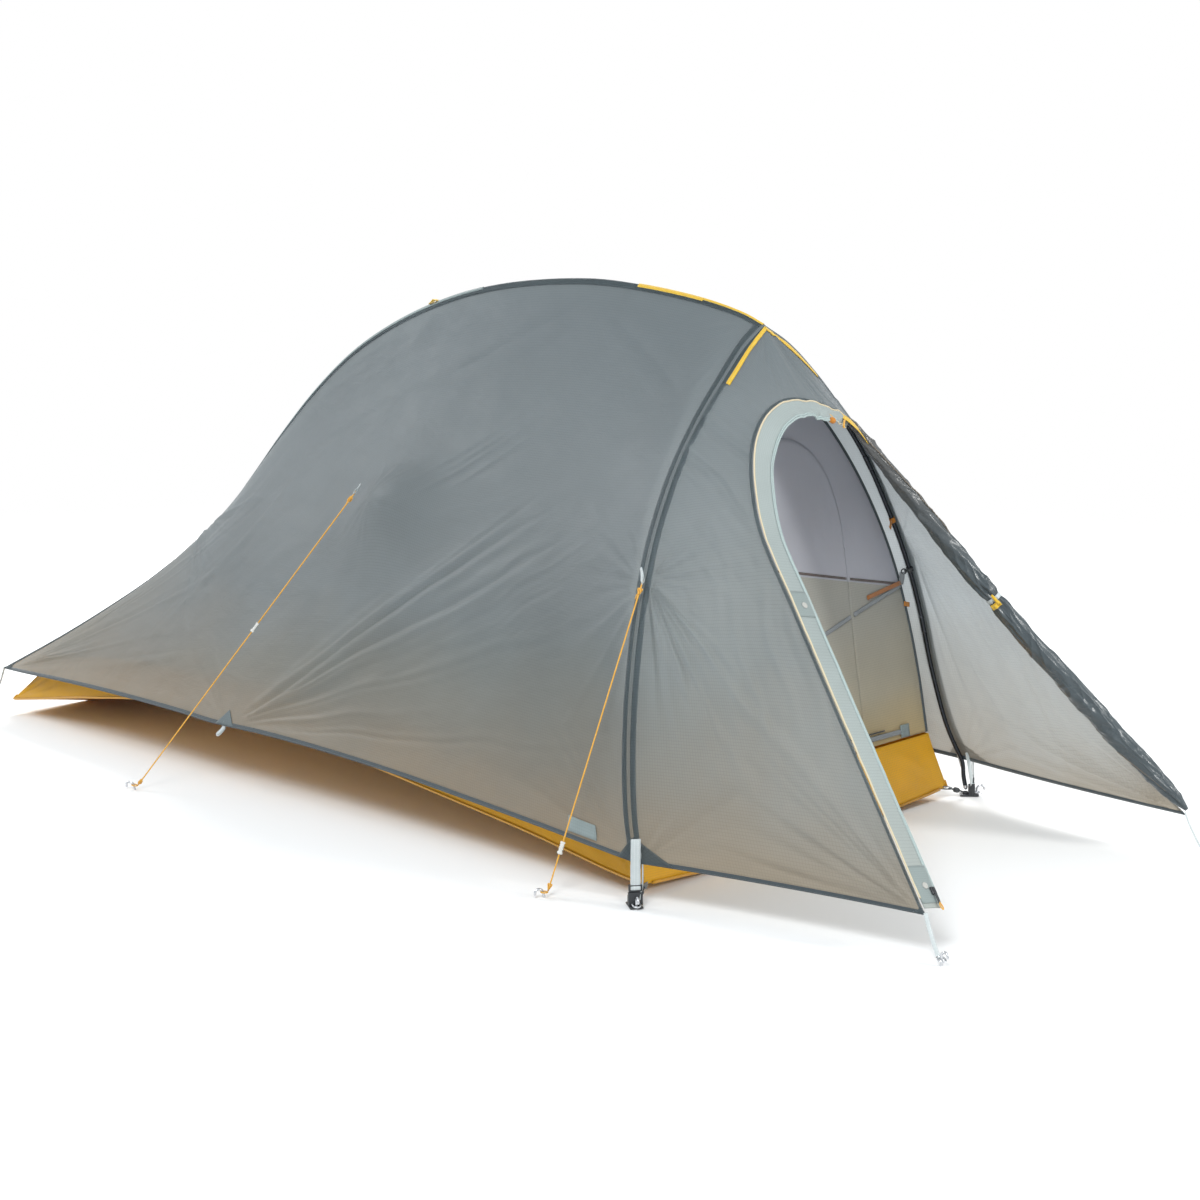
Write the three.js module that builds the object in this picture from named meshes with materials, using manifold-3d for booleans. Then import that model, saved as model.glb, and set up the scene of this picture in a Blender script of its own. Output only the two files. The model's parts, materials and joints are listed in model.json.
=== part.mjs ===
// Front-entry dome tent with a Y-shaped pole set: two bowed front legs and a long rear spine meet in
// a hub, an inner tent with a bathtub floor hangs below them, and a fly with a staked front vestibule
// covers both.
// Millimetres. +Z is up, the ground is z = 0, the door faces -Y, left is -X, and the poles are
// symmetric about x = 0. Coordinates count from the tent's middle station; the whole group is then
// moved so that the origin is at the floor's front rest.
import * as THREE from "three";
import { mergeVertices } from "three/addons/utils/BufferGeometryUtils.js";
import Module from "manifold-3d";

const wasm = await Module();
wasm.setup();

// ---------------------------------------------------------------- driving dimensions
const FLY_T = 1.0; // thickness of the fly panels
const INNER_T = 1.0; // thickness of the inner tent's walls
const TUB_T = 1.2; // thickness of the floor tub
const SEAM = 0.4; // gap between neighbouring pieces
const RIDGE_SETBACK = SEAM / 2 + 0.4; // fly side panel's edge from x = 0 along the ridge
const LEG_SETBACK = 2.1; // fly panels' edges before and behind the leg seam

const POLE_R = 4.5; // pole tube, outside radius
const BORE_R = 3.95; // pole tube, bore at the socket end
const SPIGOT_R = 3.5; // reduced end that enters the next section
const SPIGOT_L = 38; // length of the reduced end
const SOCKET_L = SPIGOT_L + 3; // depth of the bore that takes it
const CORE_R = 2.7; // channel for the shock cord
const CORD_R = 1.0; // shock cord
const POLE_STEP = 96; // distance between the stations shared by all tubes and cords on a path
const STEP_MARGIN = 6; // no shared station lies closer than this to an end
const SPINE_SECTIONS = 5;
const LEG_SECTIONS = 3;
const SPINE_DROP = 17; // spine centreline below the fly's ridge
const LEG_DROP = 12; // leg centreline inside the fly's leg seam
const HUB_REACH = 12; // from the hub's centre to the end of a pole in its socket
const TIP_L = 10; // pole tip beyond the end of the tube
const TIP_PLUG_L = 20; // part of the tip inside the tube
const TIP_SOCKET_L = 22; // depth of the bore for the tip
const CORD_END = TIP_L + 24; // from a pole's foot to the end of the cord
const TIP_Z = 13; // height of the poles' feet

const GUY_R = 1.25; // guyline
const STAKE_R = 2.3; // stake wire
const STAKE_SEG = 6; // sides of the stake wire
const STAKE_DEPTH = 125; // length of a stake below the ground
const RING_Z = 11; // height of the webbing rings round the stakes
const ROLL_R = 21; // radius of the rolled-up door
const TAPE_W = 46; // width of the zip tape round the door
const REST_Y = 1000; // from the middle station forward to the floor's front rest

const V = (x, y, z) => new THREE.Vector3(x, y, z);
const UP = V(0, 0, 1);
const HUB = V(0, -936, 981);
const FOOT = V(-530, -1088, 0); // left leg's foot on the ground
const FOOT_OUT = V(-0.6, -0.8, 0); // horizontal, away from the tent
const FOOT_SIDE = V(0.8, -0.6, 0);
const FOOT_HOLE = 23.2; // from the foot outward to the stake hole
const STAKE_REAR = V(-372, 1140, 0);
const STAKE_VESTIBULE = V(-446, -1688, 0);

// Corners of the left fly panel, [x, y, z].
const HUB_TOP = [0, -949, 1003];
const REAR_PEAK = [0, 737, 436];
const HEM_FRONT = [-527, -1090, 78];
const HEM_REAR = [-352, 1098, 110];
// Ridge of the fly over the spine, [x, y, z].
const RIDGE = [
  HUB_TOP, [0, -905, 1021], [0, -820, 1043], [0, -720, 1060], [0, -625, 1071], [0, -520, 1078],
  [0, -371, 1073], [0, -229, 1057], [0, -100, 1029], [0, 54, 977], [0, 205, 903], [0, 335, 811],
  [0, 460, 700], [0, 571, 590], [0, 665, 500], REAR_PEAK,
];
// Seam of the fly over the left leg, [x, y, z].
const LEG = [
  HUB_TOP, [-68, -957, 966], [-139, -965, 910], [-222, -971, 833], [-298, -979, 746],
  [-374, -991, 623], [-424, -1006, 511], [-458, -1019, 400], [-484, -1034, 275], [-507, -1058, 160],
  HEM_FRONT,
];
// Hip crease from the rear peak to the left rear corner, [x, y, z].
const HIP = [
  REAR_PEAK, [-40, 779, 394], [-106, 852, 319], [-178, 930, 249], [-248, 1006, 186], HEM_REAR,
];
// Left hem from the leg to the rear corner, [x, y, z].
const HEM = [
  HEM_FRONT, [-521, -1000, 84], [-509, -840, 95], [-496, -640, 108], [-482, -416, 121],
  [-468, -180, 129], [-455, 24, 130], [-443, 200, 126], [-430, 330, 128], [-408, 600, 128],
  [-388, 827, 123], [-371, 990, 116], HEM_REAR,
];
// Edge of the fly round the door, from the left front stake over the top to the right front stake:
// [door station, x, y, z]. A door station runs from 0 at the left hem corner to 1 at the hub along
// the left leg seam, and on to 2 at the right hem corner; it says which seam point faces the edge.
const DOOR_EDGE = [
  [0, -436, -1648, 76], [0.1, -403, -1553, 188], [0.2, -369, -1456, 302], [0.3, -337, -1364, 411],
  [0.4, -302, -1264, 530], [0.5, -269, -1168, 645], [0.6, -243, -1124, 728],
  [0.7, -220, -1104, 796], [0.8, -178, -1094, 846], [0.9, -115, -1089, 871], [1, -45, -1089, 868],
  [1.12, 20, -1094, 851], [1.24, 72, -1100, 826], [1.37, 143, -1148, 723], [1.5, 210, -1218, 604],
  [1.62, 271, -1301, 482], [1.74, 328, -1394, 358], [1.87, 383, -1500, 229], [2, 436, -1648, 76],
];
// Floor tub from front to rear: station y, half width and height of the bottom edge, height of the
// taut floor along the middle, half width and height of the wall's top edge.
const FLOOR = [
  [-1070, 484, 24, 0, 452, 140],
  [-960, 468, 31, 0, 440, 150],
  [-760, 450, 56, 22, 424, 168],
  [-480, 432, 85, 51, 406, 190],
  [-180, 418, 115, 82, 388, 200],
  [130, 404, 126, 94, 372, 203],
  [440, 390, 129, 98, 356, 200],
  [720, 374, 95, 65, 336, 180],
  [950, 352, 56, 22, 308, 138],
  [1083, 340, 34, 0, 288, 116],
].map(([y, half, edgeZ, midZ, wallHalf, wallZ]) => ({ y, half, edgeZ, midZ, wallHalf, wallZ }));

// ---------------------------------------------------------------- finishes
const finish = (color, { roughness, metalness = 0 }) => ({ color, roughness, metalness });
const PLASTIC = 0x2f3336, WEBBING = 0xbfc9c7, ALLOY = 0xb8bcc0;
const FINISH = {
  fly: finish(0x808a8b, { roughness: 0.6 }),
  doorRoll: finish(0x505c60, { roughness: 0.5 }),
  tub: finish(0xe0a41f, { roughness: 0.55 }),
  inner: finish(0x8a8c94, { roughness: 0.8 }),
  pole: finish(0x3c4044, { roughness: 0.35, metalness: 0.8 }),
  shockCord: finish(0xd8d4c8, { roughness: 0.8 }),
  hub: finish(PLASTIC, { roughness: 0.4, metalness: 0.3 }),
  innerSlider: finish(PLASTIC, { roughness: 0.4, metalness: 0.3 }),
  doorSlider: finish(PLASTIC, { roughness: 0.4, metalness: 0.4 }),
  clip: finish(PLASTIC, { roughness: 0.45, metalness: 0.1 }),
  buckle: finish(PLASTIC, { roughness: 0.45 }),
  zipTape: finish(WEBBING, { roughness: 0.6 }),
  strap: finish(WEBBING, { roughness: 0.7 }),
  tie: finish(0xe7c850, { roughness: 0.7 }),
  guyline: finish(0xe1af50, { roughness: 0.8 }),
  metal: finish(ALLOY, { roughness: 0.3, metalness: 0.9 }),
  tensioner: finish(ALLOY, { roughness: 0.4, metalness: 0.6 }),
};

const tent = new THREE.Group();
function add(name, geometry, look) {
  const mesh = new THREE.Mesh(geometry, new THREE.MeshStandardMaterial(look));
  mesh.name = name;
  tent.add(mesh);
}
// The left piece and its mirror image.
function addPair(name, geometry, look) {
  add(name + "_left", geometry, look);
  add(name + "_right", mirrored(geometry), look);
}

// ---------------------------------------------------------------- vectors and curves
const { lerp, clamp } = THREE.MathUtils;
const mix = (a, b, t) => a.clone().lerp(b, t);
const cross = (a, b) => new THREE.Vector3().crossVectors(a, b);
const direction = (from, to) => to.clone().sub(from).normalize();
const flat = (v) => V(v.x, v.y, 0);
// The part of v that is square to a unit axis.
const squareTo = (v, axis) => v.clone().addScaledVector(axis, -v.dot(axis));
const curveOf = (points) => new THREE.CatmullRomCurve3(points, false, "centripetal");
const curveOfTable = (rows) => curveOf(rows.map((row) => V(...row)));

const ridgeCurve = curveOfTable(RIDGE);
const legCurve = curveOfTable(LEG);
const hipCurve = curveOfTable(HIP);
const hemCurve = curveOfTable(HEM);

// A path with arc-length access; side is the direction from which sweeps count their angles.
function pathOf(points, side) {
  const curve = curveOf(points);
  curve.arcLengthDivisions = 400;
  const length = curve.getLength();
  const at = (s) => curve.getPointAt(s / length);
  const tangent = (s) => curve.getTangentAt(s / length);
  return { length, side, at, tangent };
}

// ---------------------------------------------------------------- meshes and solids
// Indexed geometry of a closed surface, turned so that its faces point outward.
function fromArrays(verts, tris) {
  const g = new THREE.BufferGeometry();
  const coords = new Float32Array(verts.flatMap((v) => [v.x, v.y, v.z]));
  g.setAttribute("position", new THREE.BufferAttribute(coords, 3));
  let volume = 0;
  for (const [a, b, c] of tris) volume += verts[a].dot(cross(verts[b], verts[c])) / 6;
  g.setIndex(volume < 0 ? tris.flatMap(([a, b, c]) => [a, c, b]) : tris.flat());
  return g;
}

// Surface through rings of points; a ring of one point closes an end, a loop joins last to first.
function skin(rings, loop = false) {
  let next = 0;
  const ids = rings.map((ring) => ring.map(() => next++));
  const tris = [];
  for (let i = 0; i < ids.length - (loop ? 0 : 1); i++) {
    const a = ids[i], b = ids[(i + 1) % ids.length];
    const seg = Math.max(a.length, b.length);
    for (let k = 0; k < seg; k++) {
      const l = (k + 1) % seg;
      if (a.length === 1) tris.push([a[0], b[k], b[l]]);
      else if (b.length === 1) tris.push([a[k], b[0], a[l]]);
      else tris.push([a[k], b[k], b[l]], [a[k], b[l], a[l]]);
    }
  }
  return fromArrays(rings.flat(), tris);
}

// Points round a centre in the plane of u and v; shape scales the radius by the angle.
function ringPoints(centre, u, v, seg, radius, shape = () => 1) {
  return Array.from({ length: seg }, (_, k) => {
    const angle = (2 * Math.PI * k) / seg, r = radius * shape(angle);
    return centre.clone()
      .addScaledVector(u, r * Math.cos(angle))
      .addScaledVector(v, r * Math.sin(angle));
  });
}

// Rings along a path. stations are [distance, radius]; a loop of stations makes a hollow tube.
function sweep(path, stations, seg, loop = false) {
  return skin(stations.map(([s, radius]) => {
    const centre = path.at(s);
    if (radius === 0) return [centre];
    const along = path.tangent(s), u = squareTo(path.side, along).normalize();
    return ringPoints(centre, u, cross(along, u), seg, radius);
  }), loop);
}

// Closed thin shell round a grid of points: moved half the thickness to each side, with a rim.
function shell(grid, thickness) {
  const m = grid.length, n = grid[0].length, verts = [], tris = [];
  const normals = grid.map((row, i) => row.map((_, j) => {
    const a = grid[Math.max(i - 1, 0)][j], b = grid[Math.min(i + 1, m - 1)][j];
    const c = row[Math.max(j - 1, 0)], d = row[Math.min(j + 1, n - 1)];
    return cross(b.clone().sub(a), d.clone().sub(c)).normalize();
  }));
  for (const side of [0.5, -0.5]) {
    grid.forEach((row, i) => row.forEach((p, j) => {
      verts.push(p.clone().addScaledVector(normals[i][j], side * thickness));
    }));
  }
  const at = (s, i, j) => s * m * n + i * n + j;
  const gap = (a, b) => verts[a].distanceTo(verts[b]);
  for (let i = 0; i < m - 1; i++) for (let j = 0; j < n - 1; j++) {
    // both sides are split along the diagonal that is shorter on the first side
    const flip = gap(at(0, i, j), at(0, i + 1, j + 1)) > gap(at(0, i + 1, j), at(0, i, j + 1));
    for (const s of [0, 1]) {
      const a = at(s, i, j), b = at(s, i + 1, j), c = at(s, i + 1, j + 1), d = at(s, i, j + 1);
      const halves = flip ? [[a, b, d], [b, c, d]] : [[a, b, c], [a, c, d]];
      for (const [p, q, r] of halves) tris.push(s ? [p, r, q] : [p, q, r]);
    }
  }
  const rim = (p, q) => tris.push(
    [at(0, ...p), at(0, ...q), at(1, ...q)],
    [at(0, ...p), at(1, ...q), at(1, ...p)],
  );
  for (let i = 0; i < m - 1; i++) {
    rim([i + 1, 0], [i, 0]);
    rim([i, n - 1], [i + 1, n - 1]);
  }
  for (let j = 0; j < n - 1; j++) {
    rim([0, j], [0, j + 1]);
    rim([m - 1, j + 1], [m - 1, j]);
  }
  return fromArrays(verts, tris);
}

// Grid between four border curves, relaxed to the shape of a tensioned sheet. u runs along top and
// bottom in m steps, v along start and end in n steps; held is an inner point {i, j, point}.
function patch({ top, bottom, start, end, m, n, held }) {
  const grid = [];
  for (let i = 0; i <= m; i++) {
    const u = i / m, row = [];
    for (let j = 0; j <= n; j++) {
      const v = j / n;
      row.push(V(0, 0, 0)
        .addScaledVector(top(u), 1 - v).addScaledVector(bottom(u), v)
        .addScaledVector(start(v), 1 - u).addScaledVector(end(v), u)
        .addScaledVector(top(0), -(1 - u) * (1 - v)).addScaledVector(top(1), -u * (1 - v))
        .addScaledVector(bottom(0), -(1 - u) * v).addScaledVector(bottom(1), -u * v));
    }
    grid.push(row);
  }
  for (let k = 0; k < 160; k++) for (let i = 1; i < m; i++) for (let j = 1; j < n; j++) {
    const p = grid[i][j];
    if (held && held.i === i && held.j === j) p.copy(held.point);
    else {
      p.copy(grid[i - 1][j]).add(grid[i + 1][j]).add(grid[i][j - 1]).add(grid[i][j + 1]);
      p.multiplyScalar(0.25);
    }
  }
  return grid;
}

const welded = (position) =>
  mergeVertices(new THREE.BufferGeometry().setAttribute("position", position), 1e-3);
// Mirror image of an indexed geometry in x = 0, with the faces turned back outward.
function mirrored(g) {
  const out = g.toNonIndexed().applyMatrix4(new THREE.Matrix4().makeScale(-1, 1, 1));
  const position = out.getAttribute("position"), a = position.array;
  for (let i = 0; i < a.length; i += 9) {
    for (let k = 0; k < 3; k++) [a[i + 3 + k], a[i + 6 + k]] = [a[i + 6 + k], a[i + 3 + k]];
  }
  return welded(position);
}
function toSolid(g) {
  const mesh = welded((g.index ? g.toNonIndexed() : g).getAttribute("position"));
  return new wasm.Manifold(new wasm.Mesh({
    numProp: 3,
    vertProperties: mesh.attributes.position.array,
    triVerts: new Uint32Array(mesh.index.array),
  }));
}
function toGeometry(solid) {
  const mesh = solid.getMesh(), coords = new Float32Array(mesh.numVert * 3);
  for (let i = 0; i < mesh.numVert; i++) {
    const o = i * mesh.numProp;
    coords.set(mesh.vertProperties.subarray(o, o + 3), i * 3);
  }
  return new THREE.BufferGeometry()
    .setAttribute("position", new THREE.BufferAttribute(coords, 3))
    .setIndex(new THREE.BufferAttribute(mesh.triVerts, 1));
}
const union = (...parts) => toGeometry(parts.map(toSolid).reduce((a, b) => a.add(b)));
const cut = (g, ...tools) =>
  toGeometry(tools.map(toSolid).reduce((a, b) => a.subtract(b), toSolid(g)));

const box = (width, depth, height, x = 0, y = 0, z = 0) =>
  new THREE.BoxGeometry(width, depth, height).translate(x, y, z);
// A cylinder from a to b.
function rod(a, b, radius, seg = 10) {
  const g = new THREE.CylinderGeometry(radius, radius, a.distanceTo(b), seg);
  g.applyQuaternion(new THREE.Quaternion().setFromUnitVectors(V(0, 1, 0), direction(a, b)));
  return g.translate(...mix(a, b, 0.5));
}
// Geometry moved to a frame; in a left-handed frame its faces are turned back outward.
function placed(g, xAxis, yAxis, zAxis, origin) {
  const m = new THREE.Matrix4().makeBasis(xAxis, yAxis, zAxis).setPosition(origin);
  if (m.determinant() > 0) return g.applyMatrix4(m);
  return mirrored(g).applyMatrix4(m.multiply(new THREE.Matrix4().makeScale(-1, 1, 1)));
}

// ---------------------------------------------------------------- pole paths
// The direction square to a tangent in the plane x = 0, to the underside of the ridge.
const underside = (tangent) => V(0, tangent.z, -tangent.y);
const belowRidge = (u, drop) =>
  ridgeCurve.getPointAt(u).addScaledVector(underside(ridgeCurve.getTangentAt(u)), drop);

// The spine stays in the plane x = 0; below the rear peak it runs on to its foot behind the floor.
function makeSpinePath() {
  const points = [HUB];
  for (let i = 2; i <= 36; i++) points.push(belowRidge(i / 36, SPINE_DROP));
  points.push(V(0, 826, 331), V(0, 925, 231), V(0, 1020, 129), V(0, 1072, 62), V(0, 1104, TIP_Z));
  return pathOf(points, V(1, 0, 0));
}

// The left leg follows its seam on the inside; the last stretch shifts rearward, by 3 at the hem.
function makeLegPath() {
  const points = [HUB];
  for (let i = 3; i <= 30; i++) {
    const inward = cross(legCurve.getTangentAt(i / 30), V(0, 1, 0)).normalize();
    const p = legCurve.getPointAt(i / 30).addScaledVector(inward, LEG_DROP);
    if (i > 26) p.y += lerp(3, 0, (30 - i) / 4);
    points.push(p);
  }
  points.push(V(-523, -1086, 42), V(FOOT.x, FOOT.y, TIP_Z));
  return pathOf(points, V(0, 1, 0));
}

const spinePath = makeSpinePath();
const legPath = makeLegPath();

// ---------------------------------------------------------------- poles, cord and hub
// Distances from a to b through the shared stations.
function steps(a, b) {
  const low = Math.min(a, b), high = Math.max(a, b), out = [low];
  const first = POLE_STEP * Math.ceil((low + STEP_MARGIN) / POLE_STEP);
  for (let s = first; s < high - STEP_MARGIN; s += POLE_STEP) out.push(s);
  out.push(high);
  return a <= b ? out : out.reverse();
}

// A tube with a bore at its start, and a spigot or, in the last section, a bore at its end.
function poleSection(path, start, end, last) {
  const tube = (a, b, radius) => steps(a, b).map((s) => [s, radius]);
  const socketEnd = start + SOCKET_L, spigotEnd = end + SPIGOT_L, tipSocket = end - TIP_SOCKET_L;
  const endStations = last
    ? [[end, BORE_R], [tipSocket, BORE_R], ...tube(tipSocket, socketEnd, CORE_R)]
    : [
      [end, SPIGOT_R], [spigotEnd, SPIGOT_R], [spigotEnd, CORE_R],
      ...tube(end, socketEnd, CORE_R),
    ];
  const stations = [
    ...tube(start, end, POLE_R), ...endStations, [socketEnd, BORE_R], [start, BORE_R],
  ];
  return sweep(path, stations, 8, true);
}

function poleSections(path, count) {
  const length = (path.length - TIP_L - HUB_REACH) / count;
  return Array.from({ length: count }, (_, k) => {
    const start = HUB_REACH + k * length + (k ? SEAM : 0);
    return poleSection(path, start, HUB_REACH + (k + 1) * length, k === count - 1);
  });
}

function poleTip(path) {
  const foot = path.length, tubeEnd = foot - TIP_L;
  const plugR = SPIGOT_R - 0.3, collarR = POLE_R + 0.3;
  return sweep(path, [
    [tubeEnd - TIP_PLUG_L, 0], [tubeEnd - TIP_PLUG_L, plugR],
    [tubeEnd + SEAM, plugR], [tubeEnd + SEAM, collarR],
    [foot - 6, collarR], [foot - 2, 3.6], [foot, 2.4], [foot, 0],
  ], 8);
}

function addPoles() {
  poleSections(spinePath, SPINE_SECTIONS).forEach((g, k) => {
    add(`spine_section_${k + 1}`, g, FINISH.pole);
  });
  add("pole_tip_rear", poleTip(spinePath), FINISH.metal);
  poleSections(legPath, LEG_SECTIONS).forEach((g, k) => {
    add(`leg_left_section_${k + 1}`, g, FINISH.pole);
    add(`leg_right_section_${k + 1}`, mirrored(g), FINISH.pole);
  });
  addPair("pole_tip", poleTip(legPath), FINISH.metal);
}

// One elastic cord knotted in the hub, with a branch down each pole.
function addShockCord() {
  const branch = (path) => {
    const end = path.length - CORD_END;
    return sweep(path, [[0, 0], ...steps(0, end).map((s) => [s, CORD_R]), [end, 0]], 6);
  };
  const left = branch(legPath);
  const knot = new THREE.SphereGeometry(2.2, 8, 6).translate(...HUB);
  add("shock_cord", union(branch(spinePath), left, mirrored(left), knot), FINISH.shockCord);
}

// Y hub: a flat puck with three sockets, bored for the pole ends and the cord.
function addHub() {
  const socketStart = 3, socketEnd = 34, socketR = 6.6;
  const boreR = POLE_R + 0.75, cordBoreR = 2.9, knotBoreR = 3.2;
  const puckR = 12.5, puckHeight = 13, puckTilt = -0.3;
  const sockets = [], bores = [];
  for (const [path, sign] of [[spinePath, 1], [legPath, 1], [legPath, -1]]) {
    const at = (s) => path.at(s).multiply(V(sign, 1, 1));
    sockets.push(rod(at(socketStart), at(socketEnd), socketR));
    bores.push(
      rod(at(HUB_REACH - 0.5), at(socketEnd + 4), boreR),
      rod(HUB, at(HUB_REACH + 1), cordBoreR, 8),
    );
  }
  const puck = new THREE.CylinderGeometry(puckR, puckR, puckHeight, 14)
    .rotateX(puckTilt).translate(...HUB);
  const knotBore = new THREE.SphereGeometry(knotBoreR, 8, 6).translate(...HUB);
  add("pole_hub", cut(union(puck, ...sockets), ...bores, knotBore), FINISH.hub);
}

// ---------------------------------------------------------------- floor tub
// One row per station, between rows for the top edges of the front and rear walls.
function addFloorTub() {
  const frontY = -1046, rearY = 1006; // top edges of the end walls
  const flatPart = 0.36; // share of the half width where the floor keeps its middle height
  const across = [-1, -0.985, -0.72, -flatPart, 0, flatPart, 0.72, 0.985, 1]; // left to right
  const front = FLOOR[0], rear = FLOOR.at(-1);

  const topRow = (station, y, bow) => across.map((a) =>
    V(a * station.wallHalf, y + bow * Math.abs(a), station.wallZ));
  const floorRow = (station) => across.map((a) => {
    const { y, half, edgeZ, midZ, wallHalf, wallZ } = station;
    const share = Math.abs(a), sign = Math.sign(a);
    if (share === 1) {
      if (station === front) return V(sign * wallHalf, frontY + 4, wallZ - 0.5);
      if (station === rear) return V(sign * wallHalf, rearY + 4, wallZ - 0.5);
      return V(sign * wallHalf, y, wallZ);
    }
    if (share > 0.9) return V(sign * half, y, edgeZ);
    const bow = station === front ? 14 : station === rear ? -20 : 0;
    const rise = Math.max(0, (share - flatPart) / (1 - flatPart));
    const x = a * half * (share > 0.5 ? 0.98 : 1);
    return V(x, y + bow * (1 - share), lerp(midZ, edgeZ, rise));
  });

  const grid = [topRow(front, frontY, 3), ...FLOOR.map(floorRow), topRow(rear, rearY, 6)];
  for (const p of grid.flat()) p.z += TUB_T / 2;
  add("floor_tub", shell(grid, TUB_T), FINISH.tub);
}

// ---------------------------------------------------------------- inner tent
// Front wall: a leaning plane behind the legs. Heights h run up the plane.
const FRONT_BASE = V(0, -1040, 144);
const FRONT_UP = V(0, 0.155, 1).normalize();
const FRONT_OUT = cross(V(1, 0, 0), FRONT_UP).normalize(); // points forward
const onFront = (x, h, off) => V(x, 0, 0).add(FRONT_BASE)
  .addScaledVector(FRONT_UP, h).addScaledVector(FRONT_OUT, off);
const toFront = (g) => placed(g, V(1, 0, 0), FRONT_UP, FRONT_OUT, FRONT_BASE);
// Outline of the front wall, [half width, h], from the base to the apex.
const ARCH = [
  [450, 0], [443, 125], [427, 240], [398, 360], [352, 470],
  [292, 572], [214, 668], [126, 742], [52, 786], [0, 800],
];
const DOOR_HINGE_X = 232; // straight right-hand edge of the door

// Outline of the door, drawn in from the opening by the gap.
function doorShape(gap) {
  const hinge = DOOR_HINGE_X - gap, sill = 34 + gap, head = 640 - gap, free = -318 + gap;
  const s = new THREE.Shape();
  s.moveTo(hinge, sill);
  s.lineTo(hinge, 420);
  s.bezierCurveTo(hinge, 540 - gap, 170 - gap, head, 60, head);
  s.bezierCurveTo(-70, head, -190 + gap, 560, -262 + gap, 380);
  s.bezierCurveTo(-300 + gap, 270, free, 180, free, 110);
  s.bezierCurveTo(free, 60, -300, sill, -250, sill);
  s.lineTo(hinge, sill);
  return s;
}

const frontPanel = (shape) => toFront(
  new THREE.ExtrudeGeometry(shape, { depth: INNER_T, bevelEnabled: false, curveSegments: 7 })
    .translate(0, 0, -INNER_T),
);

function addInnerFront() {
  const leftSide = ARCH.map(([x, h]) => new THREE.Vector2(-x, h));
  const rightSide = ARCH.slice(0, -1).reverse().map(([x, h]) => new THREE.Vector2(x, h));
  const wall = new THREE.Shape([...leftSide, ...rightSide, leftSide[0]]);
  wall.holes.push(doorShape(0));
  add("inner_front_wall", frontPanel(wall), FINISH.inner);
  add("inner_door", frontPanel(doorShape(2)), FINISH.inner);
  // slider of the inner door's zip, on the lower edge of the opening
  const slider = union(box(9, 12, 3), box(5, 16, 1.6, 0, -10, 1.4));
  slider.translate(DOOR_HINGE_X - 6, 20, 2);
  add("inner_zip_slider", toFront(slider), FINISH.innerSlider);
}

// Side walls, from the line under the spine out and down to the top of the tub.
function addInnerWalls() {
  const middleX = -0.95; // left wall's edge beside the plane x = 0
  const behindFront = -INNER_T - 1.2;
  const spineGap = 27; // ridge of the inner below the spine's centreline
  const tubGap = 4.5; // foot of the wall above the tub's top edge
  const rearCorner = V(-285, 1009, 122);
  const apexH = ARCH.at(-1)[1];

  const ridgePoints = [onFront(0, apexH, behindFront).add(V(middleX, 0, 1))];
  for (let i = 3; i <= 17; i++) {
    ridgePoints.push(belowRidge(i / 18, SPINE_DROP + spineGap).setX(middleX));
  }
  for (const [y, z] of [[745, 362], [850, 256], [930, 178], [984, 142]]) {
    ridgePoints.push(V(middleX, y, z));
  }
  const ridge = curveOf(ridgePoints);
  const edge = curveOf(ARCH.slice().reverse().map(([x, h]) =>
    onFront(x ? -x : middleX, h === apexH ? h + 1 : h, behindFront)));
  const foot = curveOf([
    edge.getPoint(1),
    ...FLOOR.slice(1, -1).map(({ y, wallHalf, wallZ }) => V(-wallHalf, y, wallZ + tubGap)),
    rearCorner,
  ]);
  const rear = curveOf([V(middleX, 984, 142), V(-100, 998, 124), V(-200, 1002, 123), rearCorner]);
  const grid = patch({
    top: (u) => ridge.getPointAt(u),
    bottom: (u) => foot.getPointAt(u),
    start: (v) => edge.getPointAt(v),
    end: (v) => rear.getPointAt(v),
    m: 12,
    n: 6,
  });
  addPair("inner_wall", shell(grid, INNER_T), FINISH.inner);
}

// A clip at distance s on a pole: an open hook round the pole and a strap towards the inner tent.
function clip(path, s, tail, width) {
  const innerR = POLE_R + 0.9, outerR = POLE_R + 3;
  const mouth = 0.62, sweepAngle = 2 * Math.PI - 2 * mouth - 0.5; // radians
  const along = path.tangent(s), tailAcross = squareTo(tail, along);
  const up = tailAcross.clone().normalize().negate();
  const across = cross(along, up).normalize();

  const arc = (radius) => Array.from({ length: 13 }, (_, k) => {
    const angle = mouth + (sweepAngle * k) / 12;
    return new THREE.Vector2(radius * Math.sin(angle), -radius * Math.cos(angle));
  });
  const hook = new THREE.ExtrudeGeometry(
    new THREE.Shape([...arc(outerR), ...arc(innerR).reverse()]),
    { depth: width, bevelEnabled: false },
  ).translate(0, 0, -width / 2);

  const strapT = 1.9, strapW = width * 0.8, strapX = outerR - 1.05;
  const strapL = tailAcross.length() - innerR - 1;
  const strap = box(strapT, strapL, strapW, strapX, 3.2 - innerR - strapL / 2, 0);
  const root = box(strapT, 6, strapW, strapX, -3.2, 0);
  const g = union(hook, strap, root);
  return placed(g, across, up, cross(across, up).normalize(), path.at(s));
}

function addClips() {
  [330, 800, 1340].forEach((s, k) => {
    const tail = underside(spinePath.tangent(s)).multiplyScalar(24);
    add(`spine_clip_${k + 1}`, clip(spinePath, s, tail, 16), FINISH.clip);
  });
  // the hook that pulls the inner out to the leg half way up
  const tail = V(10, 9, -3).normalize().multiplyScalar(15);
  addPair("leg_hook", clip(legPath, 660, tail, 20), FINISH.clip);
}

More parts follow.
